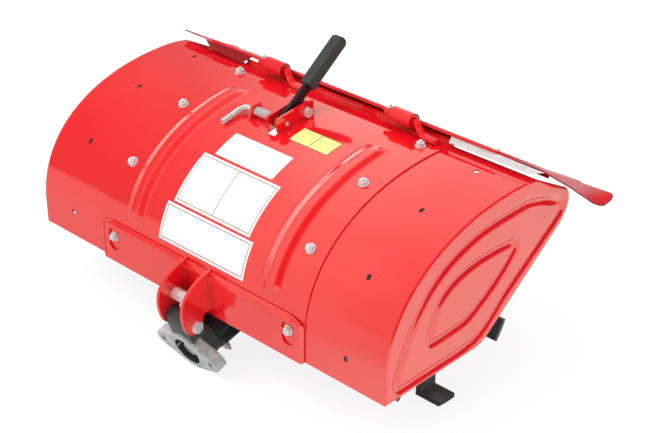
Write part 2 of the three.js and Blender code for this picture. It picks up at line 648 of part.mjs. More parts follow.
/** Middle board of the flap, with its folded front edge and stiffened rear edge. */
function flapBoard() {
  const { front, rear, half } = FLAP;
  const board = flapSheet([-half, half].map((x) => [[x, front, 0], [x, rear, 0]]), 1);
  const fold = (down, depth) => {
    const corners = [[down, -depth], [down + SHEET, -depth], [down + SHEET, 0.5], [down, 0.5]];
    const outline = corners.map(([d, above]) => onFlap(0, d, above));
    return slab(new THREE.Shape(outline.map((p) => new THREE.Vector2(p.y, p.z))), -half, half);
  };
  return join(board, fold(front, FLAP.frontFold), fold(rear - SHEET, FLAP.rearFold));
}

/** Wing of the right side: slides under the board; its outer front corner is bent down. */
const bentWing = () => flapSheet(WING, 5);

/** Wing of the left side, drawn on the right: its front corner lies level with the board. */
function levelWing() {
  const raised = ([x, down, above]) => [x, down, Math.max(above, WING_UNDER)];
  return flapSheet(WING.map((edges) => edges.map(raised)), 5);
}

/** Hinge tube welded to the flap's front edge. */
function hingeTube(x) {
  const half = HINGE.length / 2;
  const tube = barX(HINGE.tubeOuter, x - half, x + half, HINGE.y, HINGE.z, 24);
  return cut(tube, barX(HINGE.tubeInner, x - 60, x + 60, HINGE.y, HINGE.z, 16));
}

/** Bent round bar that a tube turns on, with its foot flattened on the hood. */
function hingePin(x) {
  const end = x + HINGE.length / 2;
  const { front, rear, near, far, thick } = HINGE_FOOT;
  const floor = Math.max(...standingOn(front, rear).map((point) => point.y));
  const middle = (front + rear) / 2;
  const bar = rod([
    new THREE.Vector3(end - HINGE.length - 10, HINGE.y, HINGE.z),
    new THREE.Vector3(end - 6, HINGE.y, HINGE.z),
    new THREE.Vector3(end + 5, HINGE.y, HINGE.z),
    new THREE.Vector3(end + 13, HINGE.y - 2, HINGE.z - 7),
    new THREE.Vector3(end + 20, middle, floor + 9),
    new THREE.Vector3(end + near + 8, middle, floor + 3),
  ], HINGE.rod, 6, 18);
  const foot = block(end + near, end + far, front, rear, floor, floor + thick);
  const above = block(x - 80, x + 140, 200, 400, 200, floor);
  return cut(join(bar, foot), above);
}

// ---------------------------------------------------------------- assembly

const paint = new THREE.MeshStandardMaterial({ color: 0xd9201a, roughness: 0.28, metalness: 0.1 });
const black = new THREE.MeshStandardMaterial({ color: 0x17181a, roughness: 0.45, metalness: 0.2 });
const castGrey = new THREE.MeshStandardMaterial({ color: 0x9a9c9e, roughness: 0.55, metalness: 0.7 });
const zinc = new THREE.MeshStandardMaterial({ color: 0xd4d8da, roughness: 0.3, metalness: 0.9 });
const rubber = new THREE.MeshStandardMaterial({ color: 0x2c2d2f, roughness: 0.7, metalness: 0 });
const tool = new THREE.MeshStandardMaterial({ color: 0x1b1b1c, roughness: 0.5, metalness: 0.4 });

const machine = new THREE.Group();

function add(name, body, material) {
  const mesh = new THREE.Mesh(geometryOf(body), material.clone());
  mesh.name = name;
  machine.add(mesh);
  return body;
}

/** Mirror image across the machine's middle plane. */
const mirrored = (body) => body.mirror([1, 0, 0]);

add('hood_center', hoodCentre(), paint);
add('hood_extension_right', hoodExtension(), paint);
add('hood_extension_left', mirrored(hoodExtension()), paint);
add('end_cap_right', endCap(), paint);
add('end_cap_left', mirrored(endCap()), paint);
add('front_strip', frontStrip(), paint);
add('coupling_ear_right', couplingEar(1), paint);
add('coupling_ear_left', couplingEar(-1), paint);
add('ear_cross_bolt', crossBolt(), zinc);
add('ear_spacer', barX(11, -EAR.inner + GAP, EAR.inner - GAP, -30, 26, 6), zinc);
add('coupling_flange', couplingFlange(), castGrey);
add('drive_housing', driveHousing(), black);
add('gearcase', gearcase(), black);
add('hood_mount', hoodMount(), black);

const clear = LEVER.half + BRACKET.clear;
add('lever_bracket_right', bracketPlate(LEVER.x + clear), paint);
add('lever_bracket_left', bracketPlate(LEVER.x - clear - BRACKET.thick), paint);
add('lever_pivot_bolt', pivotBolt(), zinc);
add('depth_lever', depthLever(), black);
add('lever_grip', leverGrip(), rubber);
add('depth_skid', depthSkid(), black);
add('lock_pin', lockPin(), zinc);
add('lock_pin_guide', lockPinGuide(), paint);
add('lock_pin_spring', lockPinSpring(), zinc);

add('flap_board', flapBoard(), paint);
add('flap_wing_right', bentWing(), paint);
add('flap_wing_left', mirrored(levelWing()), paint);
for (const [name, side] of [['left', -1], ['right', 1]]) {
  add(`hinge_tube_${name}`, hingeTube(side * HINGE.x), paint);
  add(`hinge_pin_${name}`, hingePin(side * HINGE.x), paint);
}

add('rotor_shaft', barX(SHAFT_RADIUS, -SHAFT_HALF, SHAFT_HALF, ROTOR.y, ROTOR.z, 24), tool);
for (const [name, side] of [['left', -1], ['right', 1]]) {
  ['inner', 'middle', 'outer'].forEach((place, i) => {
    add(`tine_star_${name}_${place}`, tineStar(side, i), tool);
  });
}
add('input_dog', inputDog(), castGrey);

// The origin is the middle of the floor under the whole machine.
const bounds = new THREE.Box3().setFromObject(machine);
machine.position.set(0, -(bounds.min.y + bounds.max.y) / 2, -bounds.min.z);

export default machine;
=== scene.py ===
"""Looks of a rotavator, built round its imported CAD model.

The CAD model gives every place. This script gives each piece its finish, swaps the plain
sheet-metal bodies for finely pressed ones, and adds bolts, welds, a coil spring and labels.
Sizes are in millimetres of the drawing frame, whose zero is the hood's front bottom edge in
the machine's middle plane; Datum turns them into metres of the row frame.
"""

import logging  # noqa: E402
import math  # noqa: E402
from collections.abc import Callable, Iterable, Iterator, Sequence  # noqa: E402
from contextlib import contextmanager  # noqa: E402
from dataclasses import dataclass, field  # noqa: E402
from enum import Enum  # noqa: E402

import bmesh  # noqa: E402
import bpy  # noqa: E402
import numpy as np  # noqa: E402
from mathutils import Matrix, Vector  # noqa: E402
from mathutils.geometry import delaunay_2d_cdt  # noqa: E402


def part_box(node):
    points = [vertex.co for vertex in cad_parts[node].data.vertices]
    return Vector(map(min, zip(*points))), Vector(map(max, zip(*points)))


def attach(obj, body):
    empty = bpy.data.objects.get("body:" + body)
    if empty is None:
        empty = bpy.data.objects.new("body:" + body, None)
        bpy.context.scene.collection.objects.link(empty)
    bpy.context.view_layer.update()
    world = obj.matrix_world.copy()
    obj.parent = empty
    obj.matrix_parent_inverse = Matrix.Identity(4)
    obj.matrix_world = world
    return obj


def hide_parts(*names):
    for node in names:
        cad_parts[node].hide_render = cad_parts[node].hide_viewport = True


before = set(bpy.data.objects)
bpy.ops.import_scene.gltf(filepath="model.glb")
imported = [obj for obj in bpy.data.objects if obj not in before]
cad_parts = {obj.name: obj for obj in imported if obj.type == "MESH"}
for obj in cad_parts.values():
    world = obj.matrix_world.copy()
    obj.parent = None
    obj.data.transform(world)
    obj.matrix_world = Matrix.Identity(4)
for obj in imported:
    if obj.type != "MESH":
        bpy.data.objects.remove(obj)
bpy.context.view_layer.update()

MM = 0.001
SHEET_CORNER = 38.0
ROUND_CORNER = 50.0
SHEET_FACE = 2.3
log = logging.getLogger("rotavator")

Colour = tuple[float, float, float]
Point = tuple[float, float, float]
Flat = tuple[float, float]
Reach = tuple[float, float, float, float]


class Body(Enum):
    """The CAD bodies that pieces ride on."""

    HOOD = "hood"
    FLAP = "flap"
    LEVER = "lever"
    ROTOR = "rotor"
    INPUT = "input"


class Slot(Enum):
    """Names of material slots, which nothing in this script uses."""

    RED = "red_paint"
    BLACK = "black_paint"
    CASTING = "grey_casting"
    STEEL = "bare_steel"
    ZINC = "zinc_steel"
    RUBBER = "grip_rubber"


class Side(Enum):
    """The two ends of the machine, as the sign of X."""

    LEFT = -1
    RIGHT = 1

    @property
    def word(self) -> str:
        """The side's name as it stands in node names."""
        return self.name.lower()


# ------------------------------------------------------------------ places


@dataclass(frozen=True)
class Datum:
    """Where the drawing's zero lies in the row frame, in metres."""

    y: float
    z: float

    @classmethod
    def from_frame(cls) -> "Datum":
        """Reads the zero off the right end cap, whose front bottom corner it is."""
        low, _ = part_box("end_cap_right")
        return cls(low[1], low[2])

    def at(self, x: float, y: float, z: float) -> Vector:
        """Turns a point of the drawing into the row frame.

        Args:
            x: millimetres towards the machine's right end.
            y: millimetres behind the hood's front edge.
            z: millimetres above the hood's bottom edge.

        Returns:
            The point in metres.
        """
        return Vector((x * MM, self.y + y * MM, self.z + z * MM))

    def all(self, points: Iterable[Point]) -> list[Vector]:
        """Turns many points of the drawing into the row frame."""
        return [self.at(*point) for point in points]


DATUM = Datum.from_frame()


def segment(a: Flat, b: Flat, steps: int) -> list[Flat]:
    """Points along a straight line, ends included."""
    return [(a[0] + (b[0] - a[0]) * t, a[1] + (b[1] - a[1]) * t) for t in np.linspace(0, 1, steps)]


def quadratic(a: Flat, b: Flat, c: Flat, steps: int) -> list[Flat]:
    """Points along a quadratic curve, ends included."""
    ts = np.linspace(0, 1, steps)
    return [tuple((1 - t) ** 2 * a[k] + 2 * t * (1 - t) * b[k] + t * t * c[k] for k in (0, 1)) for t in ts]


def cubic(a: Flat, b: Flat, c: Flat, d: Flat, steps: int) -> list[Flat]:
    """Points along a cubic curve, ends included."""
    made = []
    for t in np.linspace(0, 1, steps):
        w = ((1 - t) ** 3, 3 * t * (1 - t) ** 2, 3 * t * t * (1 - t), t**3)
        made.append(tuple(sum(wi * p[k] for wi, p in zip(w, (a, b, c, d))) for k in (0, 1)))
    return made


@dataclass(frozen=True)
class Section:
    """The hood's section in (y, z), run along from its front bottom edge to its rear edge."""

    front: float = 40.0
    rise: float = 130.0
    crown: Flat = (290.0, 247.0)
    lead: float = 175.0
    trail: float = 28.0
    rear: Flat = (342.0, 241.0)
    arch_steps: int = 240
    tail_steps: int = 24
    top_lift: float = 2.6

    def corners(self) -> np.ndarray:
        """Points close together along the section.

        Returns:
            The points as rows of (y, z).
        """
        arch = cubic(
            (0.0, self.front), (0.0, self.front + self.rise),
            (self.crown[0] - self.lead, self.crown[1]), self.crown, self.arch_steps,
        )
        tail = quadratic(self.crown, (self.crown[0] + self.trail, self.crown[1]), self.rear, self.tail_steps)
        return np.array([(0.0, 0.0), *arch, *tail[1:]])

    def runs(self) -> np.ndarray:
        """Length along the section at each of its corners."""
        steps = np.linalg.norm(np.diff(CORNERS, axis=0), axis=1)
        return np.concatenate([[0.0], np.cumsum(steps)])

    @property
    def length(self) -> float:
        """Whole length of the section."""
        return float(RUNS[-1])

    def locate(self, run: float) -> tuple[Flat, Flat]:
        """Point and outward normal at a length along the section.

        Args:
            run: millimetres from the front bottom edge.

        Returns:
            The point and its normal, both as (y, z).
        """
        near, far = max(0.0, run - 1.0), min(self.length, run + 1.0)
        point, before, after = (
            [float(np.interp(r, RUNS, CORNERS[:, k])) for k in (0, 1)] for r in (run, near, far)
        )
        along = (after[0] - before[0], after[1] - before[1])
        size = math.hypot(*along)
        return (point[0], point[1]), (-along[1] / size, along[0] / size)

    def lifted(self, x: float, run: float, lift: float) -> Point:
        """Point above the section, at a place across the machine."""
        point, normal = self.locate(run)
        return (x, point[0] + normal[0] * lift, point[1] + normal[1] * lift)

    def run_at(self, y: float) -> float:
        """Length along the section above a place behind the front edge."""
        return float(np.interp(y, CORNERS[1:, 0], RUNS[1:]))

    def top(self, y: float) -> float:
        """Height just over the sheet's upper face, at a place behind the front edge."""
        return self.lifted(0, self.run_at(y), self.top_lift)[2]


SECTION = Section()
CORNERS = SECTION.corners()
RUNS = SECTION.runs()


# ------------------------------------------------------------------ node trees


def new_group(
    name: str,
    inputs: Sequence[tuple[str, str, object]],
    outputs: Sequence[tuple[str, str]],
    kind: str = "ShaderNodeTree",
) -> tuple[bpy.types.NodeTree, bpy.types.Node, bpy.types.Node]:
    """Makes an empty node group with named sockets.

    Args:
        name: the group's name.
        inputs: (name, socket type, default) of each input.
        outputs: (name, socket type) of each output.
        kind: the type of node tree.

    Returns:
        The group, its Group Input node and its Group Output node.
    """
    group = bpy.data.node_groups.new(name, kind)
    for label, socket_type, default in inputs:
        socket = group.interface.new_socket(label, in_out="INPUT", socket_type=socket_type)
        if default is not None:
            socket.default_value = default
    for label, socket_type in outputs:
        group.interface.new_socket(label, in_out="OUTPUT", socket_type=socket_type)
    return group, group.nodes.new("NodeGroupInput"), group.nodes.new("NodeGroupOutput")


def added(
    tree: bpy.types.NodeTree, kind: str, values: dict[str | int, object] | None = None, **settings: object
) -> bpy.types.Node:
    """Adds a node to a tree.

    Args:
        tree: the tree.
        kind: the node's type.
        values: default values of inputs, by their name or number.
        settings: the node's own properties.

    Returns:
        The node.
    """
    made = tree.nodes.new(kind)
    for label, value in settings.items():
        setattr(made, label, value)
    for key, value in (values or {}).items():
        made.inputs[key].default_value = value
    return made


def connect(
    tree: bpy.types.NodeTree, *pairs: tuple[bpy.types.NodeSocket, bpy.types.NodeSocket]
) -> None:
    """Links pairs of sockets in a node tree."""
    for source, target in pairs:
        tree.links.new(source, target)


def mottle_group() -> bpy.types.NodeTree:
    """Slow drift between two shades of a colour, with the roughness that goes with it.

    Returns:
        A group with Colour and Roughness outputs.
    """
    group, given, result = new_group(
        "mottle",
        [
            ("Shade", "NodeSocketColor", (0.5, 0.5, 0.5, 1)),
            ("Other shade", "NodeSocketColor", (0.6, 0.6, 0.6, 1)),
            ("Scale", "NodeSocketFloat", 8.0),
            ("Smooth", "NodeSocketFloat", 0.2),
            ("Rough", "NodeSocketFloat", 0.3),
        ],
        [("Colour", "NodeSocketColor"), ("Roughness", "NodeSocketFloat")],
    )
    place = added(group, "ShaderNodeTexCoord")
    noise = added(group, "ShaderNodeTexNoise", {"Detail": 4})
    spread = added(group, "ShaderNodeMapRange", {"From Min": 0.35, "From Max": 0.65})
    mix = added(group, "ShaderNodeMix", data_type="RGBA")
    rough = added(group, "ShaderNodeMapRange")
    connect(
        group,
        (place.outputs["Object"], noise.inputs["Vector"]),
        (given.outputs["Scale"], noise.inputs["Scale"]),
        (noise.outputs["Fac"], spread.inputs["Value"]),
        (spread.outputs["Result"], mix.inputs["Factor"]),
        (given.outputs["Shade"], mix.inputs[6]),
        (given.outputs["Other shade"], mix.inputs[7]),
        (mix.outputs[2], result.inputs["Colour"]),
        (spread.outputs["Result"], rough.inputs["Value"]),
        (given.outputs["Smooth"], rough.inputs["To Min"]),
        (given.outputs["Rough"], rough.inputs["To Max"]),
        (rough.outputs["Result"], result.inputs["Roughness"]),
    )
    return group


def relief_group() -> bpy.types.NodeTree:
    """Fine unevenness of a surface, such as orange peel in paint or the grain of a casting.

    Returns:
        A group with a Height output for a Bump node.
    """
    group, given, result = new_group(
        "relief",
        [
            ("Scale", "NodeSocketFloat", 300.0),
            ("Detail", "NodeSocketFloat", 2.0),
            ("Wave scale", "NodeSocketFloat", 12.0),
            ("Wave share", "NodeSocketFloat", 0.2),
        ],
        [("Height", "NodeSocketFloat")],
    )
    place = added(group, "ShaderNodeTexCoord")
    fine = added(group, "ShaderNodeTexNoise")
    slow = added(group, "ShaderNodeTexNoise", {"Detail": 1})
    mix = added(group, "ShaderNodeMix")
    connect(
        group,
        (place.outputs["Object"], fine.inputs["Vector"]),
        (place.outputs["Object"], slow.inputs["Vector"]),
        (given.outputs["Scale"], fine.inputs["Scale"]),
        (given.outputs["Wave scale"], slow.inputs["Scale"]),
        (given.outputs["Detail"], fine.inputs["Detail"]),
        (given.outputs["Wave share"], mix.inputs["Factor"]),
        (fine.outputs["Fac"], mix.inputs[2]),
        (slow.outputs["Fac"], mix.inputs[3]),
        (mix.outputs[0], result.inputs["Height"]),
    )
    return group


MOTTLE = mottle_group()
RELIEF = relief_group()


# ------------------------------------------------------------------ finishes


@dataclass(frozen=True)
class Finish:
    """A surface finish: two shades that it drifts between, its gloss and its fine relief."""

    name: str
    shade: Colour
    other: Colour
    smooth: float
    rough: float
    metallic: float = 0.0
    ior: float = 1.5
    tint: Colour = (1.0, 1.0, 1.0)
    mottle_scale: float = 6.0
    relief_scale: float = 300.0
    relief_detail: float = 2.0
    relief_depth: float = 0.00002
    wave_scale: float = 10.0
    wave_share: float = 0.0

    def material(self) -> bpy.types.Material:
        """The Blender material of this finish, made the first time it is asked for.

        Returns:
            A material with a Principled shader fed by the shared groups.
        """
        if self.name in bpy.data.materials:
            return bpy.data.materials[self.name]
        made = bpy.data.materials.new(self.name)
        made.use_nodes = True
        tree = made.node_tree
        shader = tree.nodes["Principled BSDF"]
        for label, value in (
            ("Metallic", self.metallic), ("IOR", self.ior), ("Specular Tint", (*self.tint, 1)),
        ):
            shader.inputs[label].default_value = value
        tone = added(tree, "ShaderNodeGroup", {
            "Shade": (*self.shade, 1), "Other shade": (*self.other, 1), "Scale": self.mottle_scale,
            "Smooth": self.smooth, "Rough": self.rough,
        }, node_tree=MOTTLE)
        relief = added(tree, "ShaderNodeGroup", {
            "Scale": self.relief_scale, "Detail": self.relief_detail, "Wave scale": self.wave_scale,
            "Wave share": self.wave_share,
        }, node_tree=RELIEF)
        bump = added(tree, "ShaderNodeBump", {"Strength": 1.0, "Distance": self.relief_depth})
        connect(
            tree,
            (tone.outputs["Colour"], shader.inputs["Base Color"]),
            (tone.outputs["Roughness"], shader.inputs["Roughness"]),
            (relief.outputs["Height"], bump.inputs["Height"]),
            (bump.outputs["Normal"], shader.inputs["Normal"]),
        )
        return made


RED_PAINT = Finish(
    "red_enamel", (0.80, 0.006, 0.014), (0.84, 0.008, 0.018), 0.06, 0.10, ior=2.15,
    tint=(1.0, 0.92, 0.74), relief_scale=220, relief_depth=0.000008, wave_share=0.35, wave_scale=16,
)
# Painted shade and painted reflection: a darker, pinker copy of the red enamel for the flap, which is painted
# the same red as the hood.
FLAP_SHADED_RED = Finish(
    "red_enamel_flap", (0.66, 0.022, 0.030), (0.72, 0.028, 0.036), 0.22, 0.32, ior=1.28,
    tint=(1.0, 0.80, 0.74), relief_scale=220, relief_depth=0.000008, wave_share=0.35, wave_scale=16,
)
TUBE_PAINT = Finish(
    "red_enamel_tube", (0.78, 0.006, 0.014), (0.82, 0.008, 0.018), 0.08, 0.14, ior=1.65,
    tint=(1.0, 0.92, 0.74), relief_scale=220, relief_depth=0.000008, wave_share=0.35, wave_scale=16,
)
# Dark red painted shade: the shaded edge of the wings' sheet, the shadow in the hinge tubes' bores, and the
# flap's shaded underside seen through the gap.
EDGE_SHADE_RED = Finish(
    "red_enamel_edge", (0.30, 0.010, 0.014), (0.36, 0.014, 0.018), 0.30, 0.42, ior=1.3,
    relief_scale=220, relief_depth=0.000008,
)
WELD_PAINT = Finish(
    "red_over_weld", (0.74, 0.006, 0.014), (0.80, 0.008, 0.018), 0.10, 0.16, ior=2.0,
    tint=(1.0, 0.92, 0.74), relief_scale=500, relief_depth=0.00006,
)
BLACK_PAINT = Finish(
    "black_satin", (0.010, 0.010, 0.012), (0.016, 0.016, 0.018), 0.28, 0.4,
    relief_scale=420, relief_depth=0.00002,
)
TINE_BLACK = Finish(
    "tine_black", (0.045, 0.047, 0.048), (0.075, 0.077, 0.078), 0.35, 0.5,
    relief_scale=260, relief_detail=4, relief_depth=0.00004,
)
HOUSING_BLACK = Finish(
    "housing_black", (0.006, 0.006, 0.007), (0.011, 0.012, 0.012), 0.16, 0.30,
    relief_scale=240, relief_detail=4, relief_depth=0.00009,
)
HOUSING_GREY = Finish(
    "housing_grey", (0.035, 0.037, 0.038), (0.060, 0.062, 0.063), 0.26, 0.40,
    relief_scale=240, relief_detail=4, relief_depth=0.00008,
)
CASTING = Finish(
    "sand_casting", (0.44, 0.45, 0.46), (0.72, 0.73, 0.74), 0.34, 0.50, metallic=0.5,
    mottle_scale=90, relief_scale=420, relief_detail=5, relief_depth=0.00030,
)
# Pale grey painted shade: the shadowed backdrop seen through the gap under the right wing.
GAP_SHADE_GREY = Finish(
    "galvanised_strip", (0.62, 0.62, 0.62), (0.74, 0.74, 0.74), 0.42, 0.52, mottle_scale=60,
    relief_depth=0.000004,
)
STEEL = Finish(
    "bare_tool_steel", (0.55, 0.55, 0.55), (0.72, 0.72, 0.71), 0.24, 0.38, metallic=0.95,
    relief_scale=500, relief_depth=0.00003,
)
ZINC = Finish(
    "bright_zinc", (0.80, 0.81, 0.82), (0.90, 0.90, 0.91), 0.20, 0.34, metallic=0.55,
    ior=1.8, mottle_scale=60, relief_scale=800, relief_depth=0.00001,
)
RUBBER = Finish(
    "grip_rubber", (0.009, 0.009, 0.010), (0.050, 0.049, 0.051), 0.34, 0.5, mottle_scale=160,
    relief_scale=700, relief_detail=3, relief_depth=0.00010,
)
LABEL_WHITE = Finish(
    "label_white", (0.86, 0.86, 0.86), (0.90, 0.90, 0.90), 0.28, 0.36, relief_depth=0.000004,
)
LABEL_LINE = Finish(
    "label_line", (0.34, 0.03, 0.028), (0.38, 0.04, 0.035), 0.3, 0.36, relief_depth=0.000004,
)
LABEL_YELLOW = Finish(
    "label_yellow", (0.90, 0.78, 0.25), (0.93, 0.82, 0.29), 0.28, 0.36, relief_depth=0.000004,
)
LABEL_DARK = Finish(
    "label_dark", (0.07, 0.055, 0.03), (0.09, 0.07, 0.04), 0.3, 0.36, relief_depth=0.000004,
)


# ------------------------------------------------------------------ making meshes


def linked(name: str, data: bpy.types.ID) -> bpy.types.Object:
    """Makes an object of a mesh, camera or lamp and puts it in the scene."""
    made = bpy.data.objects.new(name, data)
    bpy.context.scene.collection.objects.link(made)
    return made


def mesh_object(
    name: str, points: Sequence[Vector], faces: Sequence[Sequence[int]]
) -> bpy.types.Object:
    """Makes an object at the origin from points of the row frame.

    Args:
        name: the object's name.
        points: vertices, in metres.
        faces: vertex numbers of each face, counter-clockwise from outside.

    Returns:
        The linked object, shaded smooth.
    """
    mesh = bpy.data.meshes.new(name)
    mesh.from_pydata([tuple(point) for point in points], [], [tuple(face) for face in faces])
    mesh.validate()
    mesh.shade_smooth()
    return linked(name, mesh)


def sharpen(made: bpy.types.Object, degrees: float) -> None:
    """Marks edges sharper than an angle, so that smooth shading breaks there."""
    made.data.shade_smooth()
    made.data.set_sharp_from_angle(angle=math.radians(degrees))


def settled(made: bpy.types.Object) -> None:
    """Replaces an object's mesh by its evaluated one and takes its modifiers off.

    Args:
        made: the object whose modifiers are applied.
    """
    graph = bpy.context.evaluated_depsgraph_get()
    graph.update()
    mesh = bpy.data.meshes.new_from_object(made.evaluated_get(graph), depsgraph=graph)
    made.modifiers.clear()
    old, made.data = made.data, mesh
    bpy.data.meshes.remove(old)
    mesh.name = made.name


@contextmanager
def edited(made: bpy.types.Object) -> Iterator[bmesh.types.BMesh]:
    """Opens an object's mesh for editing and writes it back."""
    work = bmesh.new()
    work.from_mesh(made.data)
    yield work
    work.to_mesh(made.data)
    work.free()


def outward(made: bpy.types.Object) -> None:
    """Turns a closed mesh's faces outwards."""
    with edited(made) as work:
        bmesh.ops.recalc_face_normals(work, faces=work.faces)


def dressed(
    made: bpy.types.Object,
    finish: Finish,
    body: Body,
    nodes: Sequence[str] = (),
) -> bpy.types.Object:
    """Gives a piece its material, hangs it on its body's empty and hides the CAD nodes that it stands for.

    Args:
        made: the piece.
        finish: its finish.
        body: the CAD body that it moves with.
        nodes: CAD nodes that it stands for.

    Returns:
        The same piece.
    """
    made.data.materials.clear()
    made.data.materials.append(finish.material())
    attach(made, body.value)
    if nodes:
        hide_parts(*nodes)
    log.info("%s: %d faces", made.name, len(made.data.polygons))
    return made


def polished(
    node: str, bevel: float, finish: Finish, body: Body, segments: int = 2, corner: float = 32
) -> bpy.types.Object:
    """Copies a CAD node with merged faces and rounded edges, and stands it in its place.

    Args:
        node: the CAD node.
        bevel: width of the rounded edges, in millimetres.
        finish: the copy's finish.
        body: the CAD body that it moves with.
        segments: steps across a rounded edge.
        corner: degrees from which an edge is rounded.

    Returns:
        The new piece.
    """
    made = linked(f"{node}_piece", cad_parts[node].data.copy())
    with edited(made) as work:
        bmesh.ops.remove_doubles(work, verts=work.verts, dist=2e-5)
        bmesh.ops.dissolve_limit(work, angle_limit=math.radians(0.6), verts=work.verts, edges=work.edges)
    sharpen(made, corner)
    rounding = made.modifiers.new("rounding", "BEVEL")
    rounding.width = bevel * MM
    rounding.segments = segments
    rounding.limit_method = "ANGLE"
    rounding.angle_limit = math.radians(corner)
    rounding.use_clamp_overlap = True
    rounding.harden_normals = True
    rounding.miter_outer = "MITER_ARC"
    settled(made)
    return dressed(made, finish, body, (node,))


def recoloured(made: bpy.types.Object, finish: Finish, chosen: Callable[[Vector], bool]) -> None:
    """Gives the faces of a finished piece in one region another finish.

    Args:
        made: the piece.
        finish: the finish of the chosen faces.
        chosen: whether a face is chosen, from its middle.
    """
    made.data.materials.append(finish.material())
    last = len(made.data.materials) - 1
    for face in made.data.polygons:
        if chosen(face.center):
            face.material_index = last


def eased(a: Vector, b: Vector, c: Vector, d: Vector, steps: int) -> list[Vector]:
    """Points from b on towards c, on the smooth path through four control points."""
    return [
        0.5 * (2 * b + (c - a) * t + (2 * a - 5 * b + 4 * c - d) * t**2 + (3 * b - a - 3 * c + d) * t**3)
        for t in (k / steps for k in range(steps))
    ]


def spline(points: Sequence[Vector], steps: int) -> list[Vector]:
    """Smooth path through control points.

    Args:
        points: the control points.
        steps: steps between two control points.

    Returns:
        Points along the path.
    """
    full = [points[0] * 2 - points[1], *points, points[-1] * 2 - points[-2]]
    made = [point for i in range(len(full) - 3) for point in eased(*full[i : i + 4], steps)]
    return [*made, points[-1]]


def even(radius: float) -> Callable[[float], tuple[float, float]]:
    """The radii of a round rod, given in millimetres, for a sweep."""
    return lambda share: (radius * MM, radius * MM)


def swept(
    name: str,
    path: Sequence[Vector],
    radii: Callable[[float], tuple[float, float]],
    sides: int = 20,
    up: Vector = Vector((0, 0, 1)),
) -> bpy.types.Object:
    """Sweeps an oval along a path and closes its ends.

    Args:
        name: the object's name.
        path: points of the path, in metres.
        radii: half width and half height of the oval in metres, at a share of the path.
        sides: corners of the oval.
        up: the direction that the oval's height leans towards at the path's start.

    Returns:
        The closed mesh.
    """
    points, faces = [], []
    count = len(path)
    tangents = [
        (path[min(i + 1, count - 1)] - path[max(i - 1, 0)]).normalized() for i in range(count)
    ]
    height = (up - tangents[0] * up.dot(tangents[0])).normalized()
    stations = []
    for i, (middle, tangent) in enumerate(zip(path, tangents)):
        height = (height - tangent * height.dot(tangent)).normalized()
        stations.append((middle, tangent, height.copy(), *radii(i / (count - 1))))
    closing = (0.35, 0.75)

    def smaller(station: tuple, share: float) -> tuple:
        """A station with its oval shrunk to a share."""
        return (*station[:3], station[3] * share, station[4] * share)

    rings = [smaller(stations[0], share) for share in closing] + stations
    rings += [smaller(stations[-1], share) for share in reversed(closing)]
    for middle, tangent, tall, wide, high in rings:
        across = tangent.cross(tall)
        for k in range(sides):
            angle = 2 * math.pi * k / sides
            points.append(middle + across * (wide * math.cos(angle)) + tall * (high * math.sin(angle)))
    for i in range(len(rings) - 1):
        for k in range(sides):
            a, b = i * sides + k, i * sides + (k + 1) % sides
            faces.append((a, b, b + sides, a + sides))
    faces.append(tuple(reversed(range(sides))))
    faces.append(tuple(range((len(rings) - 1) * sides, len(rings) * sides)))
    made = mesh_object(name, points, faces)
    outward(made)
    sharpen(made, ROUND_CORNER)
    return made


def grid_shell(
    name: str,
    upper: Sequence[Sequence[Vector]],
    lower: Sequence[Sequence[Vector]],
    open_cells: Callable[[int, int], bool] = lambda i, j: False,
) -> bpy.types.Object:
    """Closed sheet between two grids of points, with cells left open where asked.

    Args:
        name: the object's name.
        upper: rows of points of one surface.
        lower: rows of points of the other surface.
        open_cells: says whether the cell at row i, column j is open.

    Returns:
        The closed mesh.
    """
    rows, columns = len(upper), len(upper[0])
    points = [p for grid in (upper, lower) for row in grid for p in row]
    faces = []

    def at(side: int, i: int, j: int) -> int:
        """Number of a vertex."""
        return side * rows * columns + i * columns + j

    def is_open(i: int, j: int) -> bool:
        """Whether there is no sheet at a cell."""
        outside = i < 0 or j < 0 or i >= rows - 1 or j >= columns - 1
        return outside or open_cells(i, j)

    for i in range(rows - 1):
        for j in range(columns - 1):
            if is_open(i, j):
                continue
            faces.append((at(0, i, j), at(0, i + 1, j), at(0, i + 1, j + 1), at(0, i, j + 1)))
            faces.append((at(1, i, j), at(1, i, j + 1), at(1, i + 1, j + 1), at(1, i + 1, j)))
            edges = (
                ((i - 1, j), (i, j), (i, j + 1)),
                ((i + 1, j), (i + 1, j + 1), (i + 1, j)),
                ((i, j - 1), (i + 1, j), (i, j)),
                ((i, j + 1), (i, j + 1), (i + 1, j + 1)),
            )
            for neighbour, a, b in edges:
                if is_open(*neighbour):
                    faces.append((at(0, *a), at(0, *b), at(1, *b), at(1, *a)))
    made = mesh_object(name, points, faces)
    with edited(made) as work:
        loose = [vertex for vertex in work.verts if not vertex.link_faces]
        bmesh.ops.delete(work, geom=loose, context="VERTS")
        bmesh.ops.recalc_face_normals(work, faces=work.faces)
    sharpen(made, SHEET_CORNER)
    return made


def drilled(made: bpy.types.Object, drills: Sequence[bpy.types.Object]) -> None:
    """Cuts holes in a mesh and removes the drills.

    Args:
        made: the mesh that is cut.
        drills: closed meshes of the holes.
    """
    for drill in drills:
        cut = made.modifiers.new("hole", "BOOLEAN")
        cut.object = drill
        cut.operation = "DIFFERENCE"
        cut.solver = "EXACT"
    settled(made)
    for drill in drills:
        bpy.data.objects.remove(drill)


def fused(made: bpy.types.Object, other: bpy.types.Object) -> None:
    """Takes another mesh into a piece and removes its object."""
    with edited(made) as work:
        work.from_mesh(other.data)
    bpy.data.objects.remove(other)
    made.data.shade_smooth()


# ------------------------------------------------------------------ geometry node trees


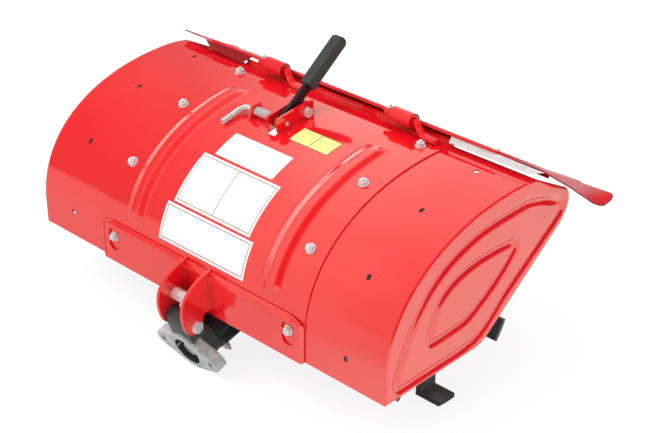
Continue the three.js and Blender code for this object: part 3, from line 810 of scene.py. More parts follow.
def coated(
    tree: bpy.types.NodeTree, shape: bpy.types.NodeSocket, given: bpy.types.Node, result: bpy.types.Node
) -> None:
    """Ends a tree: makes its shape real, gives it the finish and puts it out.

    Args:
        tree: the tree.
        shape: the socket that carries the shape.
        given: the tree's input node, which has a Finish.
        result: its output node.
    """
    realize = added(tree, "GeometryNodeRealizeInstances")
    coat = added(tree, "GeometryNodeSetMaterial")
    connect(
        tree,
        (shape, realize.inputs["Geometry"]),
        (realize.outputs["Geometry"], coat.inputs["Geometry"]),
        (given.outputs["Finish"], coat.inputs["Material"]),
        (coat.outputs["Geometry"], result.inputs["Geometry"]),
    )


def in_use(sockets: Iterable[bpy.types.NodeSocket]) -> bpy.types.NodeSocket:
    """The first socket that the node's settings leave enabled."""
    return next(socket for socket in sockets if socket.enabled)


def fastener_tree() -> bpy.types.NodeTree:
    """Sets one fastener on every point, standing along the point's facing attribute.

    Returns:
        A tree with the inputs Points, Fastener, Size, Finish and Seed.
    """
    tree, given, result = new_group(
        "set_fasteners",
        [
            ("Points", "NodeSocketGeometry", None),
            ("Fastener", "NodeSocketObject", None),
            ("Size", "NodeSocketFloat", 1.0),
            ("Finish", "NodeSocketMaterial", None),
            ("Seed", "NodeSocketInt", 3),
        ],
        [("Geometry", "NodeSocketGeometry")],
        "GeometryNodeTree",
    )
    facing = added(tree, "GeometryNodeInputNamedAttribute", {"Name": "facing"}, data_type="FLOAT_VECTOR")
    spin = added(tree, "FunctionNodeRandomValue", {"Max": math.tau})
    turn = added(tree, "ShaderNodeCombineXYZ")
    start = added(tree, "FunctionNodeEulerToRotation")
    align = added(tree, "FunctionNodeAlignRotationToVector", axis="Z")
    shape = added(tree, "GeometryNodeObjectInfo")
    place = added(tree, "GeometryNodeInstanceOnPoints")
    connect(
        tree,
        (given.outputs["Seed"], spin.inputs["Seed"]),
        (in_use(spin.outputs), turn.inputs["Z"]),
        (turn.outputs["Vector"], start.inputs["Euler"]),
        (start.outputs["Rotation"], align.inputs["Rotation"]),
        (in_use(facing.outputs), align.inputs["Vector"]),
        (given.outputs["Fastener"], shape.inputs["Object"]),
        (given.outputs["Points"], place.inputs["Points"]),
        (shape.outputs["Geometry"], place.inputs["Instance"]),
        (align.outputs["Rotation"], place.inputs["Rotation"]),
        (given.outputs["Size"], place.inputs["Scale"]),
    )
    coated(tree, place.outputs["Instances"], given, result)
    return tree


def weld_tree() -> bpy.types.NodeTree:
    """Lays flattened beads along edges, as a stick weld does.

    Returns:
        A tree with the inputs Lines, Bead, Step, Finish and Seed.
    """
    tree, given, result = new_group(
        "lay_weld",
        [
            ("Lines", "NodeSocketGeometry", None),
            ("Bead", "NodeSocketFloat", 2.2 * MM),
            ("Step", "NodeSocketFloat", 2.0 * MM),
            ("Finish", "NodeSocketMaterial", None),
            ("Seed", "NodeSocketInt", 5),
        ],
        [("Geometry", "NodeSocketGeometry")],
        "GeometryNodeTree",
    )
    line = added(tree, "GeometryNodeMeshToCurve")
    split = added(tree, "GeometryNodeResampleCurve", mode="LENGTH")
    ball = added(tree, "GeometryNodeMeshIcoSphere", {"Subdivisions": 2})
    least, most = (0.75, 0.75, 0.6), (1.15, 1.15, 0.9)
    swell = added(tree, "FunctionNodeRandomValue", {0: least, 1: most}, data_type="FLOAT_VECTOR")
    place = added(tree, "GeometryNodeInstanceOnPoints")
    smooth = added(tree, "GeometryNodeSetShadeSmooth")
    connect(
        tree,
        (given.outputs["Lines"], line.inputs["Mesh"]),
        (line.outputs["Curve"], split.inputs["Curve"]),
        (given.outputs["Step"], split.inputs["Length"]),
        (given.outputs["Bead"], ball.inputs["Radius"]),
        (given.outputs["Seed"], swell.inputs["Seed"]),
        (split.outputs["Curve"], place.inputs["Points"]),
        (ball.outputs["Mesh"], smooth.inputs["Geometry"]),
        (smooth.outputs["Geometry"], place.inputs["Instance"]),
        (in_use(swell.outputs), place.inputs["Scale"]),
    )
    coated(tree, place.outputs["Instances"], given, result)
    return tree


def coil_tree() -> bpy.types.NodeTree:
    """Winds a round wire into a coil spring along X.

    Returns:
        A tree with the inputs Turns, Radius, Length, Wire, Place and Finish.
    """
    tree, given, result = new_group(
        "wind_coil",
        [
            ("Geometry", "NodeSocketGeometry", None),
            ("Turns", "NodeSocketFloat", 9.0),
            ("Radius", "NodeSocketFloat", 6.5 * MM),
            ("Length", "NodeSocketFloat", 34 * MM),
            ("Wire", "NodeSocketFloat", 1.3 * MM),
            ("Place", "NodeSocketVector", (0, 0, 0)),
            ("Finish", "NodeSocketMaterial", None),
        ],
        [("Geometry", "NodeSocketGeometry")],
        "GeometryNodeTree",
    )
    spiral = added(tree, "GeometryNodeCurveSpiral", {"Resolution": 24})
    round_wire = added(tree, "GeometryNodeCurvePrimitiveCircle", {"Resolution": 10})
    tube = added(tree, "GeometryNodeCurveToMesh", {"Fill Caps": True})
    lay = added(tree, "GeometryNodeTransform", {"Rotation": (0, math.pi / 2, 0)})
    connect(
        tree,
        (given.outputs["Turns"], spiral.inputs["Rotations"]),
        (given.outputs["Radius"], spiral.inputs["Start Radius"]),
        (given.outputs["Radius"], spiral.inputs["End Radius"]),
        (given.outputs["Length"], spiral.inputs["Height"]),
        (given.outputs["Wire"], round_wire.inputs["Radius"]),
        (spiral.outputs["Curve"], tube.inputs["Curve"]),
        (round_wire.outputs["Curve"], tube.inputs["Profile Curve"]),
        (tube.outputs["Mesh"], lay.inputs["Geometry"]),
        (given.outputs["Place"], lay.inputs["Translation"]),
    )
    coated(tree, lay.outputs["Geometry"], given, result)
    return tree


def grown(made: bpy.types.Object, tree: bpy.types.NodeTree, values: dict[str, object]) -> None:
    """Runs a geometry node tree on an object and keeps the result as its plain mesh.

    Args:
        made: the object that the tree starts from.
        tree: the tree.
        values: a value for each named input.
    """
    modifier = made.modifiers.new(tree.name, "NODES")
    modifier.node_group = tree
    keys = {
        item.name: item.identifier
        for item in tree.interface.items_tree
        if item.item_type == "SOCKET" and item.in_out == "INPUT"
    }
    for label, value in values.items():
        modifier[keys[label]] = value
    settled(made)


FASTENER_TREE = fastener_tree()
WELD_TREE = weld_tree()
COIL_TREE = coil_tree()


@dataclass(frozen=True)
class Fastener:
    """A bolt end: washer, six-sided nut or head, and the stub of thread that stands out."""

    washer: float = 8.8
    washer_thick: float = 1.6
    flats: float = 13.0
    height: float = 5.4
    stub: float = 3.6
    stub_height: float = 3.0
    dome: float = 0.8

    def shape(self) -> bpy.types.Object:
        """One fastener standing on the origin along +Z.

        Returns:
            A closed mesh object, to be instanced.
        """
        work = bmesh.new()
        bottom = 0.0
        stages = [
            (self.washer, self.washer_thick, 28, 0.35),
            (self.flats / math.sqrt(3), self.height, 6, self.dome),
            (self.stub, self.stub_height, 16, 0.5),
        ]
        for radius, height, sides, chamfer in stages:
            if height <= 0 or radius <= 0:
                continue
            disc = bmesh.ops.create_cone(
                work, cap_ends=True, segments=sides, radius1=radius * MM, radius2=radius * MM,
                depth=height * MM,
            )
            bmesh.ops.translate(work, verts=disc["verts"], vec=(0, 0, (bottom + height / 2) * MM))
            rim = [
                edge
                for edge in {edge for vertex in disc["verts"] for edge in vertex.link_edges}
                if all(vertex.co.z > (bottom + height) * MM - 1e-6 for vertex in edge.verts)
            ]
            bmesh.ops.bevel(
                work, geom=rim, offset=chamfer * MM, segments=2, affect="EDGES", profile=0.6
            )
            bottom += height
        mesh = bpy.data.meshes.new("fastener_shape")
        work.to_mesh(mesh)
        work.free()
        mesh.shade_smooth()
        mesh.set_sharp_from_angle(angle=math.radians(28))
        return linked("fastener_shape", mesh)

    def set_at(
        self,
        name: str,
        spots: Sequence[tuple[Vector, Vector]],
        body: Body,
        finish: Finish = ZINC,
        seed: int = 3,
    ) -> bpy.types.Object:
        """Sets one fastener on each spot as a single mesh.

        Args:
            name: the piece's name.
            spots: place and direction of each fastener.
            body: the CAD body that they move with.
            finish: their finish.
            seed: seed of the random turn of each.

        Returns:
            The finished piece.
        """
        made = mesh_object(name, [spot for spot, _ in spots], [])
        facing = made.data.attributes.new("facing", "FLOAT_VECTOR", "POINT")
        facing.data.foreach_set("vector", [c for _, way in spots for c in way.normalized()])
        shape = self.shape()
        grown(
            made, FASTENER_TREE,
            {"Fastener": shape, "Size": 1.0, "Finish": finish.material(), "Seed": seed},
        )
        bpy.data.objects.remove(shape)
        return dressed(made, finish, body)


def weld_piece(
    name: str, lines: Sequence[Sequence[Point]], body: Body, bead: float
) -> bpy.types.Object:
    """Welds along lines of the drawing, painted over.

    Args:
        name: the piece's name.
        lines: points of each weld.
        body: the CAD body that it moves with.
        bead: radius of a bead, in millimetres.

    Returns:
        The finished piece.
    """
    mesh = bpy.data.meshes.new(name)
    points = [DATUM.at(*point) for line in lines for point in line]
    edges, first = [], 0
    for line in lines:
        edges += [(first + i, first + i + 1) for i in range(len(line) - 1)]
        first += len(line)
    mesh.from_pydata([tuple(point) for point in points], edges, [])
    made = linked(name, mesh)
    grown(
        made, WELD_TREE,
        {"Bead": bead * MM, "Step": bead * 0.9 * MM, "Finish": WELD_PAINT.material(), "Seed": 5},
    )
    return dressed(made, WELD_PAINT, body)


# ------------------------------------------------------------------ outlines


def smooth_step(value: float) -> float:
    """Eases from 0 to 1 as the value does."""
    value = min(1.0, max(0.0, value))
    return value * value * (3 - 2 * value)


def merged(values: Iterable[float], least: float) -> list[float]:
    """Sorts numbers and drops those nearer than a distance to the one before.

    Args:
        values: the numbers.
        least: the least distance kept.

    Returns:
        The sorted numbers that are left.
    """
    kept: list[float] = []
    for value in sorted(float(v) for v in values):
        if not kept or value - kept[-1] > least:
            kept.append(value)
    return kept


def smooth_loop(corners: Sequence[Flat], steps: int) -> np.ndarray:
    """Closed smooth path through corners.

    Args:
        corners: the control points.
        steps: steps between two of them.

    Returns:
        Points round the loop.
    """
    ring = [Vector((y, z, 0)) for y, z in corners]
    count = len(ring)
    made = [
        point
        for i in range(count)
        for point in eased(*(ring[(i + k) % count] for k in (-1, 0, 1, 2)), steps)
    ]
    return np.array([(p.x, p.y) for p in made])


def distance(places: np.ndarray, loop: np.ndarray) -> np.ndarray:
    """Distance of points from a closed loop.

    Args:
        places: the points.
        loop: the loop's corners.

    Returns:
        One distance for each point.
    """
    best = np.full(len(places), np.inf)
    for a, b in zip(loop, np.roll(loop, -1, axis=0)):
        along = b - a
        t = np.clip(((places - a) @ along) / max(along @ along, 1e-12), 0, 1)
        best = np.minimum(best, np.linalg.norm(places - a - t[:, None] * along, axis=1))
    return best


def inset_loop(line: np.ndarray, inset: float) -> np.ndarray:
    """Moves a counter-clockwise outline inwards.

    Args:
        line: the outline's corners.
        inset: the distance.

    Returns:
        As many corners as before.
    """
    into = line - np.roll(line, 1, axis=0)
    out = np.roll(line, -1, axis=0) - line
    into /= np.linalg.norm(into, axis=1)[:, None]
    out /= np.linalg.norm(out, axis=1)[:, None]
    normal = np.stack([-(into[:, 1] + out[:, 1]), into[:, 0] + out[:, 0]], axis=1)
    normal /= np.linalg.norm(normal, axis=1)[:, None]
    stretch = np.maximum(normal[:, 0] * -into[:, 1] + normal[:, 1] * into[:, 0], 0.6)
    return line + normal * (inset / stretch)[:, None]


def inner_points(loop: np.ndarray, spacing: float, margin: float) -> np.ndarray:
    """Points of an even triangular grid inside a loop.

    Args:
        loop: the loop's corners.
        spacing: distance between points.
        margin: least distance from the loop.

    Returns:
        The points.
    """
    low, high = loop.min(axis=0), loop.max(axis=0)
    rise = spacing * math.sqrt(3) / 2
    grid = [
        (y + (row % 2) * spacing / 2, z)
        for row, z in enumerate(np.arange(low[1], high[1], rise))
        for y in np.arange(low[0], high[0], spacing)
    ]
    places = np.array(grid)
    inside = np.zeros(len(places), bool)
    for a, b in zip(loop, np.roll(loop, -1, axis=0)):
        crosses = (a[1] > places[:, 1]) != (b[1] > places[:, 1])
        slope = (b[0] - a[0]) / (b[1] - a[1]) if b[1] != a[1] else 0.0
        inside ^= crosses & (places[:, 0] < a[0] + slope * (places[:, 1] - a[1]))
    places = places[inside]
    return places[distance(places, loop) > margin]


# ------------------------------------------------------------------ hood


@dataclass(frozen=True)
class Rib:
    """A pressed rib of the centre section: crisp on its outer side, soft on its inner side."""

    outer: float = 179.0
    crease: float = 12.0
    flat: float = 154.0
    inner: float = 136.0
    height: float = 4.6
    start: float = 82.0
    square: float = 24.0
    end: float = 405.0
    fade: float = 26.0

    def height_at(self, x: float, run: float) -> float:
        """Height of the rib over the sheet.

        Args:
            x: place across the machine.
            run: length along the section.

        Returns:
            Millimetres.
        """
        across = abs(x)
        outside = smooth_step((self.outer - across) / self.crease)
        inside = smooth_step((across - self.inner) / (self.flat - self.inner))
        along = smooth_step((run - self.start) / self.square) * (
            1 - smooth_step((run - self.end + self.fade) / self.fade)
        )
        return self.height * outside * inside * along

    def columns(self) -> list[float]:
        """Places across one rib where the sheet's grid has a line."""
        soft = np.arange(self.inner - 2, self.outer - self.crease - 1, 1.8).tolist()
        crisp = np.linspace(self.outer - self.crease - 0.8, self.outer + 0.8, 9).tolist()
        return [*soft, *crisp]

    def rows(self) -> list[float]:
        """Lengths along the section where the sheet's grid has a line."""
        return [
            *np.linspace(self.start - 1, self.start + self.square + 1, 8).tolist(),
            *np.linspace(self.end - self.fade, self.end, 10).tolist(),
        ]


@dataclass
class CentreSheet:
    """The hood's centre section with its ribs, its rear lip and the lever's slot."""

    half: float = 236.0
    wall: float = 2.0
    lip: Flat = (340.2, 251.5)
    fold_y: float = 337.0
    gap: float = 0.3
    slot_x: Flat = (-20.0, -4.0)
    slot_y: Flat = (178.0, 272.0)
    step: float = 5.0
    rib: Rib = field(default_factory=Rib)

    def build(self) -> bpy.types.Object:
        """Builds the pressed sheet.

        Returns:
            The finished piece.
        """
        near, far = (SECTION.run_at(y) for y in self.slot_y)
        fold = SECTION.run_at(self.fold_y)
        rows = merged([*np.arange(0, fold - 2, self.step), fold, near, far, *self.rib.rows()], 0.5)
        wide = [*np.arange(0, self.half, 9.0), self.half, *self.rib.columns()]
        columns = merged([*wide, *[-x for x in wide], *self.slot_x], 0.35)

        def surface(lift: float) -> list[list[Vector]]:
            """One face of the sheet.

            Args:
                lift: its height over the section, in millimetres.

            Returns:
                Rows of points.
            """
            sheet = [
                [DATUM.at(*SECTION.lifted(x, run, lift + self.rib.height_at(x, run))) for x in columns]
                for run in rows
            ]
            _, y, z = SECTION.lifted(0, fold, lift)
            face = self.lip[0] + self.gap + self.wall - lift
            bend = [*quadratic((y, z), (face, z - 0.4), (face, z + 3.2), 6)[1:], (face, self.lip[1])]
            return sheet + [[DATUM.at(x, *place) for x in columns] for place in bend]

        def in_slot(i: int, j: int) -> bool:
            """Whether a cell lies in the lever's slot."""
            if i + 1 >= len(rows):
                return False
            run, x = (rows[i] + rows[i + 1]) / 2, (columns[j] + columns[j + 1]) / 2
            return near < run < far and self.slot_x[0] < x < self.slot_x[1]

        made = grid_shell(
            "hood_center_sheet", surface(self.gap + self.wall), surface(self.gap), in_slot
        )
        return dressed(made, RED_PAINT, Body.HOOD, ("hood_center",))


@dataclass
class Extension:
    """A sliding sheet at one end of the hood, with the free slots of its narrow settings."""

    side: Side
    inner: float = 180.0
    outer: float = 396.6
    wall: float = 2.0
    column: float = 320.0
    slot_half: float = 3.6
    slot_long: float = 1.6
    shares: tuple[float, ...] = (0.095, 0.362, 0.632, 0.895)
    open_shares: tuple[tuple[Side, float], ...] = ((Side.LEFT, 0.095), (Side.RIGHT, 0.895))
    plug_depth: float = 1.0

    def build(self) -> bpy.types.Object:
        """Builds the sheet and cuts its slots.

        Returns:
            The finished piece.
        """
        rows = merged([*np.arange(0, SECTION.length, 5.0), SECTION.length], 0.5)
        columns = [self.side.value * x for x in np.linspace(self.inner, self.outer, 22)]
        surfaces = [
            [[DATUM.at(*SECTION.lifted(x, run, lift)) for x in columns] for run in rows]
            for lift in (0.0, -self.wall)
        ]
        made = grid_shell(f"hood_extension_{self.side.word}_sheet", *surfaces)
        outward(made)
        drilled(made, [self.drill(share * SECTION.length, self.slot_half, 8.0) for share in self.shares])
        sharpen(made, SHEET_CORNER)
        # Slots not left open get a sunk black piece: painted shade for the dark inside of the hole.
        for share in self.shares:
            if (self.side, share) not in self.open_shares:
                self.plug(share)
        return dressed(made, RED_PAINT, Body.HOOD, (f"hood_extension_{self.side.word}",))

    def plug(self, share: float) -> None:
        """Fills a free slot with a sunk black piece: painted shade for the dark inside of the hole.

        Args:
            share: its place along the section.
        """
        made = self.drill(share * SECTION.length, self.slot_half + 0.4, self.wall + 0.6, -self.plug_depth)
        made.name = f"slot_plug_{self.side.word}_{round(1000 * share)}"
        sharpen(made, SHEET_CORNER)
        dressed(made, BLACK_PAINT, Body.HOOD)

    def drill(self, run: float, half: float, reach: float, top: float | None = None) -> bpy.types.Object:
        """Closed body of one slot.

        Args:
            run: its place along the section.
            half: half its width.
            reach: how far it reaches under the sheet's face.
            top: height of its upper end over the face; as far up as it reaches down when left out.

        Returns:
            A mesh that reaches through the sheet.
        """
        middle, normal = SECTION.locate(run)
        tangent = (normal[1], -normal[0])
        sides = 20
        points = []
        for lift in (-reach, reach if top is None else top):
            for k in range(sides):
                angle = math.tau * k / sides
                along = half * math.sin(angle) + math.copysign(self.slot_long, math.sin(angle))
                x = self.side.value * self.column + half * math.cos(angle)
                y = middle[0] + normal[0] * lift + tangent[0] * along
                z = middle[1] + normal[1] * lift + tangent[1] * along
                points.append(DATUM.at(x, y, z))
        faces = [tuple(range(sides)), tuple(reversed(range(sides, 2 * sides)))]
        faces += [(k, (k + 1) % sides, sides + (k + 1) % sides, sides + k) for k in range(sides)]
        made = mesh_object("drill", points, faces)
        outward(made)
        return made


@dataclass
class EndCap:
    """A pressed end plate with a rolled edge and two grooves."""

    side: Side
    face: float = 400.0
    edge_radius: float = 3.2
    wall: float = 2.0
    spacing: float = 3.2
    groove_depth: float = 5.2
    groove_half: float = 11.5
    groove_power: float = 1.25
    level_end: float = 204.0
    knee: float = 222.0
    foot: Flat = (240.0, 13.0)
    low: Flat = (428.0, 152.0)
    top: Flat = (413.0, 202.0)
    rim: tuple[float, ...] = (388.0, 396.4)
    rim_insets: Flat = (2.4, 4.4)
    edge_insets: tuple[float, ...] = (0.0, 0.25, 0.7, 1.3, 2.1, 3.2, 5.2)
    margin: float = 2.24
    outer_groove: tuple[Flat, ...] = (
        (24, 20), (23, 38), (34, 68), (54, 107), (92, 153), (139, 184), (206, 204), (288, 209),
        (336, 206), (402, 182), (412, 168), (401, 154), (349, 118), (277, 68), (252, 46), (222, 24),
        (188, 14), (112, 13), (36, 13),
    )
    inner_groove: tuple[Flat, ...] = (
        (95, 66), (97, 88), (106, 109), (124, 132), (157, 149), (209, 158), (272, 157), (294, 150),
        (288, 136), (255, 106), (213, 79), (182, 64), (149, 61), (106, 60),
    )

    def outline(self) -> list[Flat]:
        """The plate's outline, counter-clockwise in (y, z).

        Returns:
            The outline's corners, from the front bottom one.
        """
        made: list[Flat] = [(float(y), 0.0) for y in np.linspace(0, self.level_end, 42)]
        made += quadratic(made[-1], (self.knee, 0.0), self.foot, 10)[1:]
        y, z = self.low
        shoulder = (y - 22, z - 16.4)
        made += segment(made[-1], shoulder, 56)[1:]
        made += cubic(shoulder, (y + 2, z + 2), (y + 14, self.top[1] - 12), self.top, 20)[1:]
        made += segment(self.top, SECTION.rear, 24)[1:]
        runs = np.linspace(SECTION.length, 0, 140)[1:-1]
        made += [SECTION.locate(float(run))[0] for run in runs]
        return made

    def build(self) -> bpy.types.Object:
        """Builds the pressed plate.

        Returns:
            The finished piece.
        """
        outline = np.array(self.outline())
        loops = [inset_loop(outline, inset) for inset in self.edge_insets]
        inside = inner_points(loops[-1], self.spacing, self.margin)
        flat = [tuple(p) for loop in loops for p in loop] + [tuple(p) for p in inside]
        count = len(outline)
        edges = [
            (level * count + i, level * count + (i + 1) % count)
            for level in range(len(loops))
            for i in range(count)
        ]
        result = delaunay_2d_cdt([Vector(p) for p in flat], edges, [], 1, 1e-4)
        places = np.array([tuple(p) for p in result[0]])
        faces = [tuple(face) for face in result[2]]
        heights = self.face - self.sink(places, outline)
        points = [DATUM.at(self.side.value * h, *p) for h, p in zip(heights, places)]
        made = mesh_object(f"end_cap_{self.side.word}_pressing", points, faces)
        self.face_out(made)
        wall = made.modifiers.new("wall", "SOLIDIFY")
        wall.thickness = self.wall * MM
        wall.offset = -1
        settled(made)
        fused(made, self.skirt(outline))
        sharpen(made, ROUND_CORNER)
        return dressed(made, RED_PAINT, Body.HOOD, (f"end_cap_{self.side.word}",))

    def skirt(self, outline: np.ndarray) -> bpy.types.Object:
        """Folded rim that lies inside the sheets.

        Args:
            outline: the plate's outline.

        Returns:
            A closed ring.
        """
        loops = [inset_loop(outline, inset) for inset in self.rim_insets]
        around = [*range(len(outline)), 0]
        outer, inner = (
            [[DATUM.at(self.side.value * x, *loop[k]) for k in around] for x in self.rim] for loop in loops
        )
        ring = grid_shell("rim", outer, inner)
        with edited(ring) as work:
            bmesh.ops.remove_doubles(work, verts=work.verts, dist=1e-6)
            ends = [face for face in work.faces if not any(edge.is_manifold for edge in face.edges)]
            bmesh.ops.delete(work, geom=ends, context="FACES")
            bmesh.ops.recalc_face_normals(work, faces=work.faces)
        return ring

    def sink(self, places: np.ndarray, outline: np.ndarray) -> np.ndarray:
        """How far the pressed face lies in from the cap's outer plane.

        Args:
            places: points in (y, z).
            outline: the plate's outline.

        Returns:
            Millimetres at each point.
        """
        edge = np.clip(self.edge_radius - distance(places, outline), 0, self.edge_radius)
        rolled = self.edge_radius - np.sqrt(np.maximum(self.edge_radius**2 - edge**2, 0))
        groove = np.zeros(len(places))
        for loop in (self.outer_groove, self.inner_groove):
            near = distance(places, smooth_loop(loop, 8))
            pressed = 0.5 + 0.5 * np.cos(np.pi * np.clip(near / self.groove_half, 0, 1))
            groove = np.maximum(groove, self.groove_depth * pressed**self.groove_power)
        return rolled + groove

    def face_out(self, made: bpy.types.Object) -> None:
        """Turns an open pressing so that its plate faces away from the machine."""
        with edited(made) as work:
            bmesh.ops.remove_doubles(work, verts=work.verts, dist=1e-6)
            bmesh.ops.recalc_face_normals(work, faces=work.faces)
            plate = sum(face.normal.x * face.calc_area() for face in work.faces)
            if plate * self.side.value < 0:
                bmesh.ops.reverse_faces(work, faces=work.faces)


@dataclass
class Hood:
    """The whole hood: sheets, caps, front strip, their bolts and welds."""

    bolt_column: float = 205.0
    bolt_shares: tuple[float, ...] = (0.362, 0.632, 0.90)
    bolt_grip: float = 4.6
    strip_bolt_z: float = 46.0
    strip_face: float = -5.6
    strip_half: float = 232.0
    crease_z: float = 66.0
    weld_spans: tuple[Flat, ...] = ((58, 76), (126, 164), (212, 231))

    def build(self) -> None:
        """Builds every piece of the hood."""
        CentreSheet().build()
        for side in Side:
            Extension(side).build()
            EndCap(side).build()
        polished("front_strip", 1.6, RED_PAINT, Body.HOOD, 3)
        self.fillets()
        self.bolts()
        self.welds()

    def fillets(self) -> None:
        """Fills the strip's upper edge and ends with a soft run of paint over weld."""

        def bead(name: str, path: Sequence[Point], half: Flat, up: Vector) -> None:
            """Lays one flat run.

            Args:
                name: the piece's name.
                path: points of its middle line.
                half: half its width and half its height, in millimetres.
                up: the way that it faces.
            """

            def oval(share: float) -> tuple[float, float]:
                """The run's section, which thins out at both ends."""
                full = 0.3 + 0.7 * smooth_step(min(share, 1 - share) / 0.05)
                return half[0] * full * MM, half[1] * full * MM

            made = swept(name, DATUM.all(path), oval, 28, up)
            dressed(made, RED_PAINT, Body.HOOD)

        top = [(float(x), -3.9, 67.6) for x in np.linspace(-self.strip_half, self.strip_half, 60)]
        bead("strip_fillet", top, (7.6, 1.5), Vector((0, -0.93, 0.36)))
        for side in Side:
            x = side.value * (self.strip_half + 0.9)
            end = [(x, -4.0, float(z)) for z in np.linspace(-1.5, 68.0, 30)]
            bead(f"strip_end_{side.word}", end, (4.2, 1.7), Vector((side.value * 0.62, -0.78, 0)))

    def bolts(self) -> None:
        """Sets the bolts that hold the extensions, and the plate nuts behind them."""
        spots = []
        for side in Side:
            for share in self.bolt_shares:
                run = share * SECTION.length
                _, normal = SECTION.locate(run)
                place = SECTION.lifted(side.value * self.bolt_column, run, SHEET_FACE)
                spots.append((DATUM.at(*place), Vector((0, *normal))))
            place = (side.value * self.bolt_column, -SHEET_FACE, self.strip_bolt_z)
            spots.append((DATUM.at(*place), Vector((0, -1, 0))))
        Fastener().set_at("hood_bolts", spots, Body.HOOD)
        inner = [(place - way.normalized() * (self.bolt_grip * MM), -way) for place, way in spots]
        Fastener(stub=0.0, height=4.0).set_at("hood_bolt_heads", inner, Body.HOOD, seed=8)

    def welds(self) -> None:
        """Lays the short welds along the strip's upper edge."""
        y, z = self.strip_face + 0.7, self.crease_z + 1.4
        lines = []
        for side in (-1, 1):
            lines += [[(side * x, y, z) for x in span] for span in self.weld_spans]
            lines.append([(side * (self.strip_half + 1.4), -3.4, end) for end in (24.0, 50.0)])
        weld_piece("strip_welds", lines, Body.HOOD, 1.5)


# ------------------------------------------------------------------ coupling and drive


@dataclass
class Coupling:
    """Ears, casting, cross bolt, drive housing, gearcase and the dog in the casting's bore."""

    tilt: float = 22.0
    face: Flat = (-32.0, -76.0)
    ear_inner: float = 25.0
    ear_thick: float = 6.0
    nipple_back: float = 54.3
    nipple_reach: float = 37.0
    nipple_way: Flat = (0.764, 0.645)
    flange_back: float = 21.5
    flange_top: float = 37.5

    @property
    def lean(self) -> Flat:
        """Cosine and sine of the coupling's tilt."""
        return math.cos(math.radians(self.tilt)), math.sin(math.radians(self.tilt))

    def along(self, back: float, up: float, x: float) -> Vector:
        """Point in the coupling's own frame.

        Args:
            back: millimetres behind the flange face.
            up: millimetres above the axis, square to it.
            x: millimetres across.

        Returns:
            The point in metres.
        """
        c, s = self.lean
        return DATUM.at(x, self.face[0] + back * c - up * s, self.face[1] + back * s + up * c)

    def is_dark(self, place: Vector) -> bool:
        """Whether a place on the casting is painted: its neck and its lug are, the flange isn't."""
        c, s = self.lean
        from_face = (place - self.along(0, 0, 0)) / MM
        back, up = from_face.y * c + from_face.z * s, from_face.z * c - from_face.y * s
        return back > self.flange_back or up > self.flange_top

    def build(self) -> None:
        """Builds every piece of the coupling."""
        for side in Side:
            polished(f"coupling_ear_{side.word}", 1.3, RED_PAINT, Body.HOOD, 3)
        casting = polished("coupling_flange", 1.8, CASTING, Body.HOOD, 3)
        recoloured(casting, HOUSING_GREY, self.is_dark)
        polished("drive_housing", 3.0, HOUSING_BLACK, Body.HOOD, 3)
        polished("gearcase", 3.0, HOUSING_BLACK, Body.HOOD, 3)
        polished("hood_mount", 1.5, BLACK_PAINT, Body.HOOD)
        polished("ear_cross_bolt", 1.0, ZINC, Body.HOOD)
        polished("ear_spacer", 1.0, ZINC, Body.HOOD)
        polished("input_dog", 0.6, STEEL, Body.INPUT)
        self.nipple()
        self.welds()

    def nipple(self) -> None:
        """Sets a small plug in the housing's right side."""
        c, s = self.lean
        across, down = self.nipple_way
        way = Vector((across, down * s, -down * c))
        spot = self.along(self.nipple_back, -down * self.nipple_reach, across * self.nipple_reach)
        Fastener(washer=6.5, washer_thick=1.5, flats=10, height=5, stub=3.0, stub_height=5).set_at(
            "housing_plug", [(spot, way)], Body.HOOD, seed=2
        )

    def welds(self) -> None:
        """Welds the ears to the strip."""
        lines = []
        for side in (-1, 1):
            for x in (self.ear_inner - 0.4, self.ear_inner + self.ear_thick + 0.4):
                lines.append([(side * x, -6.2, 8), (side * x, -6.2, 64), (side * x, -2.0, 74)])
        weld_piece("ear_welds", lines, Body.HOOD, 1.8)


# ------------------------------------------------------------------ depth control


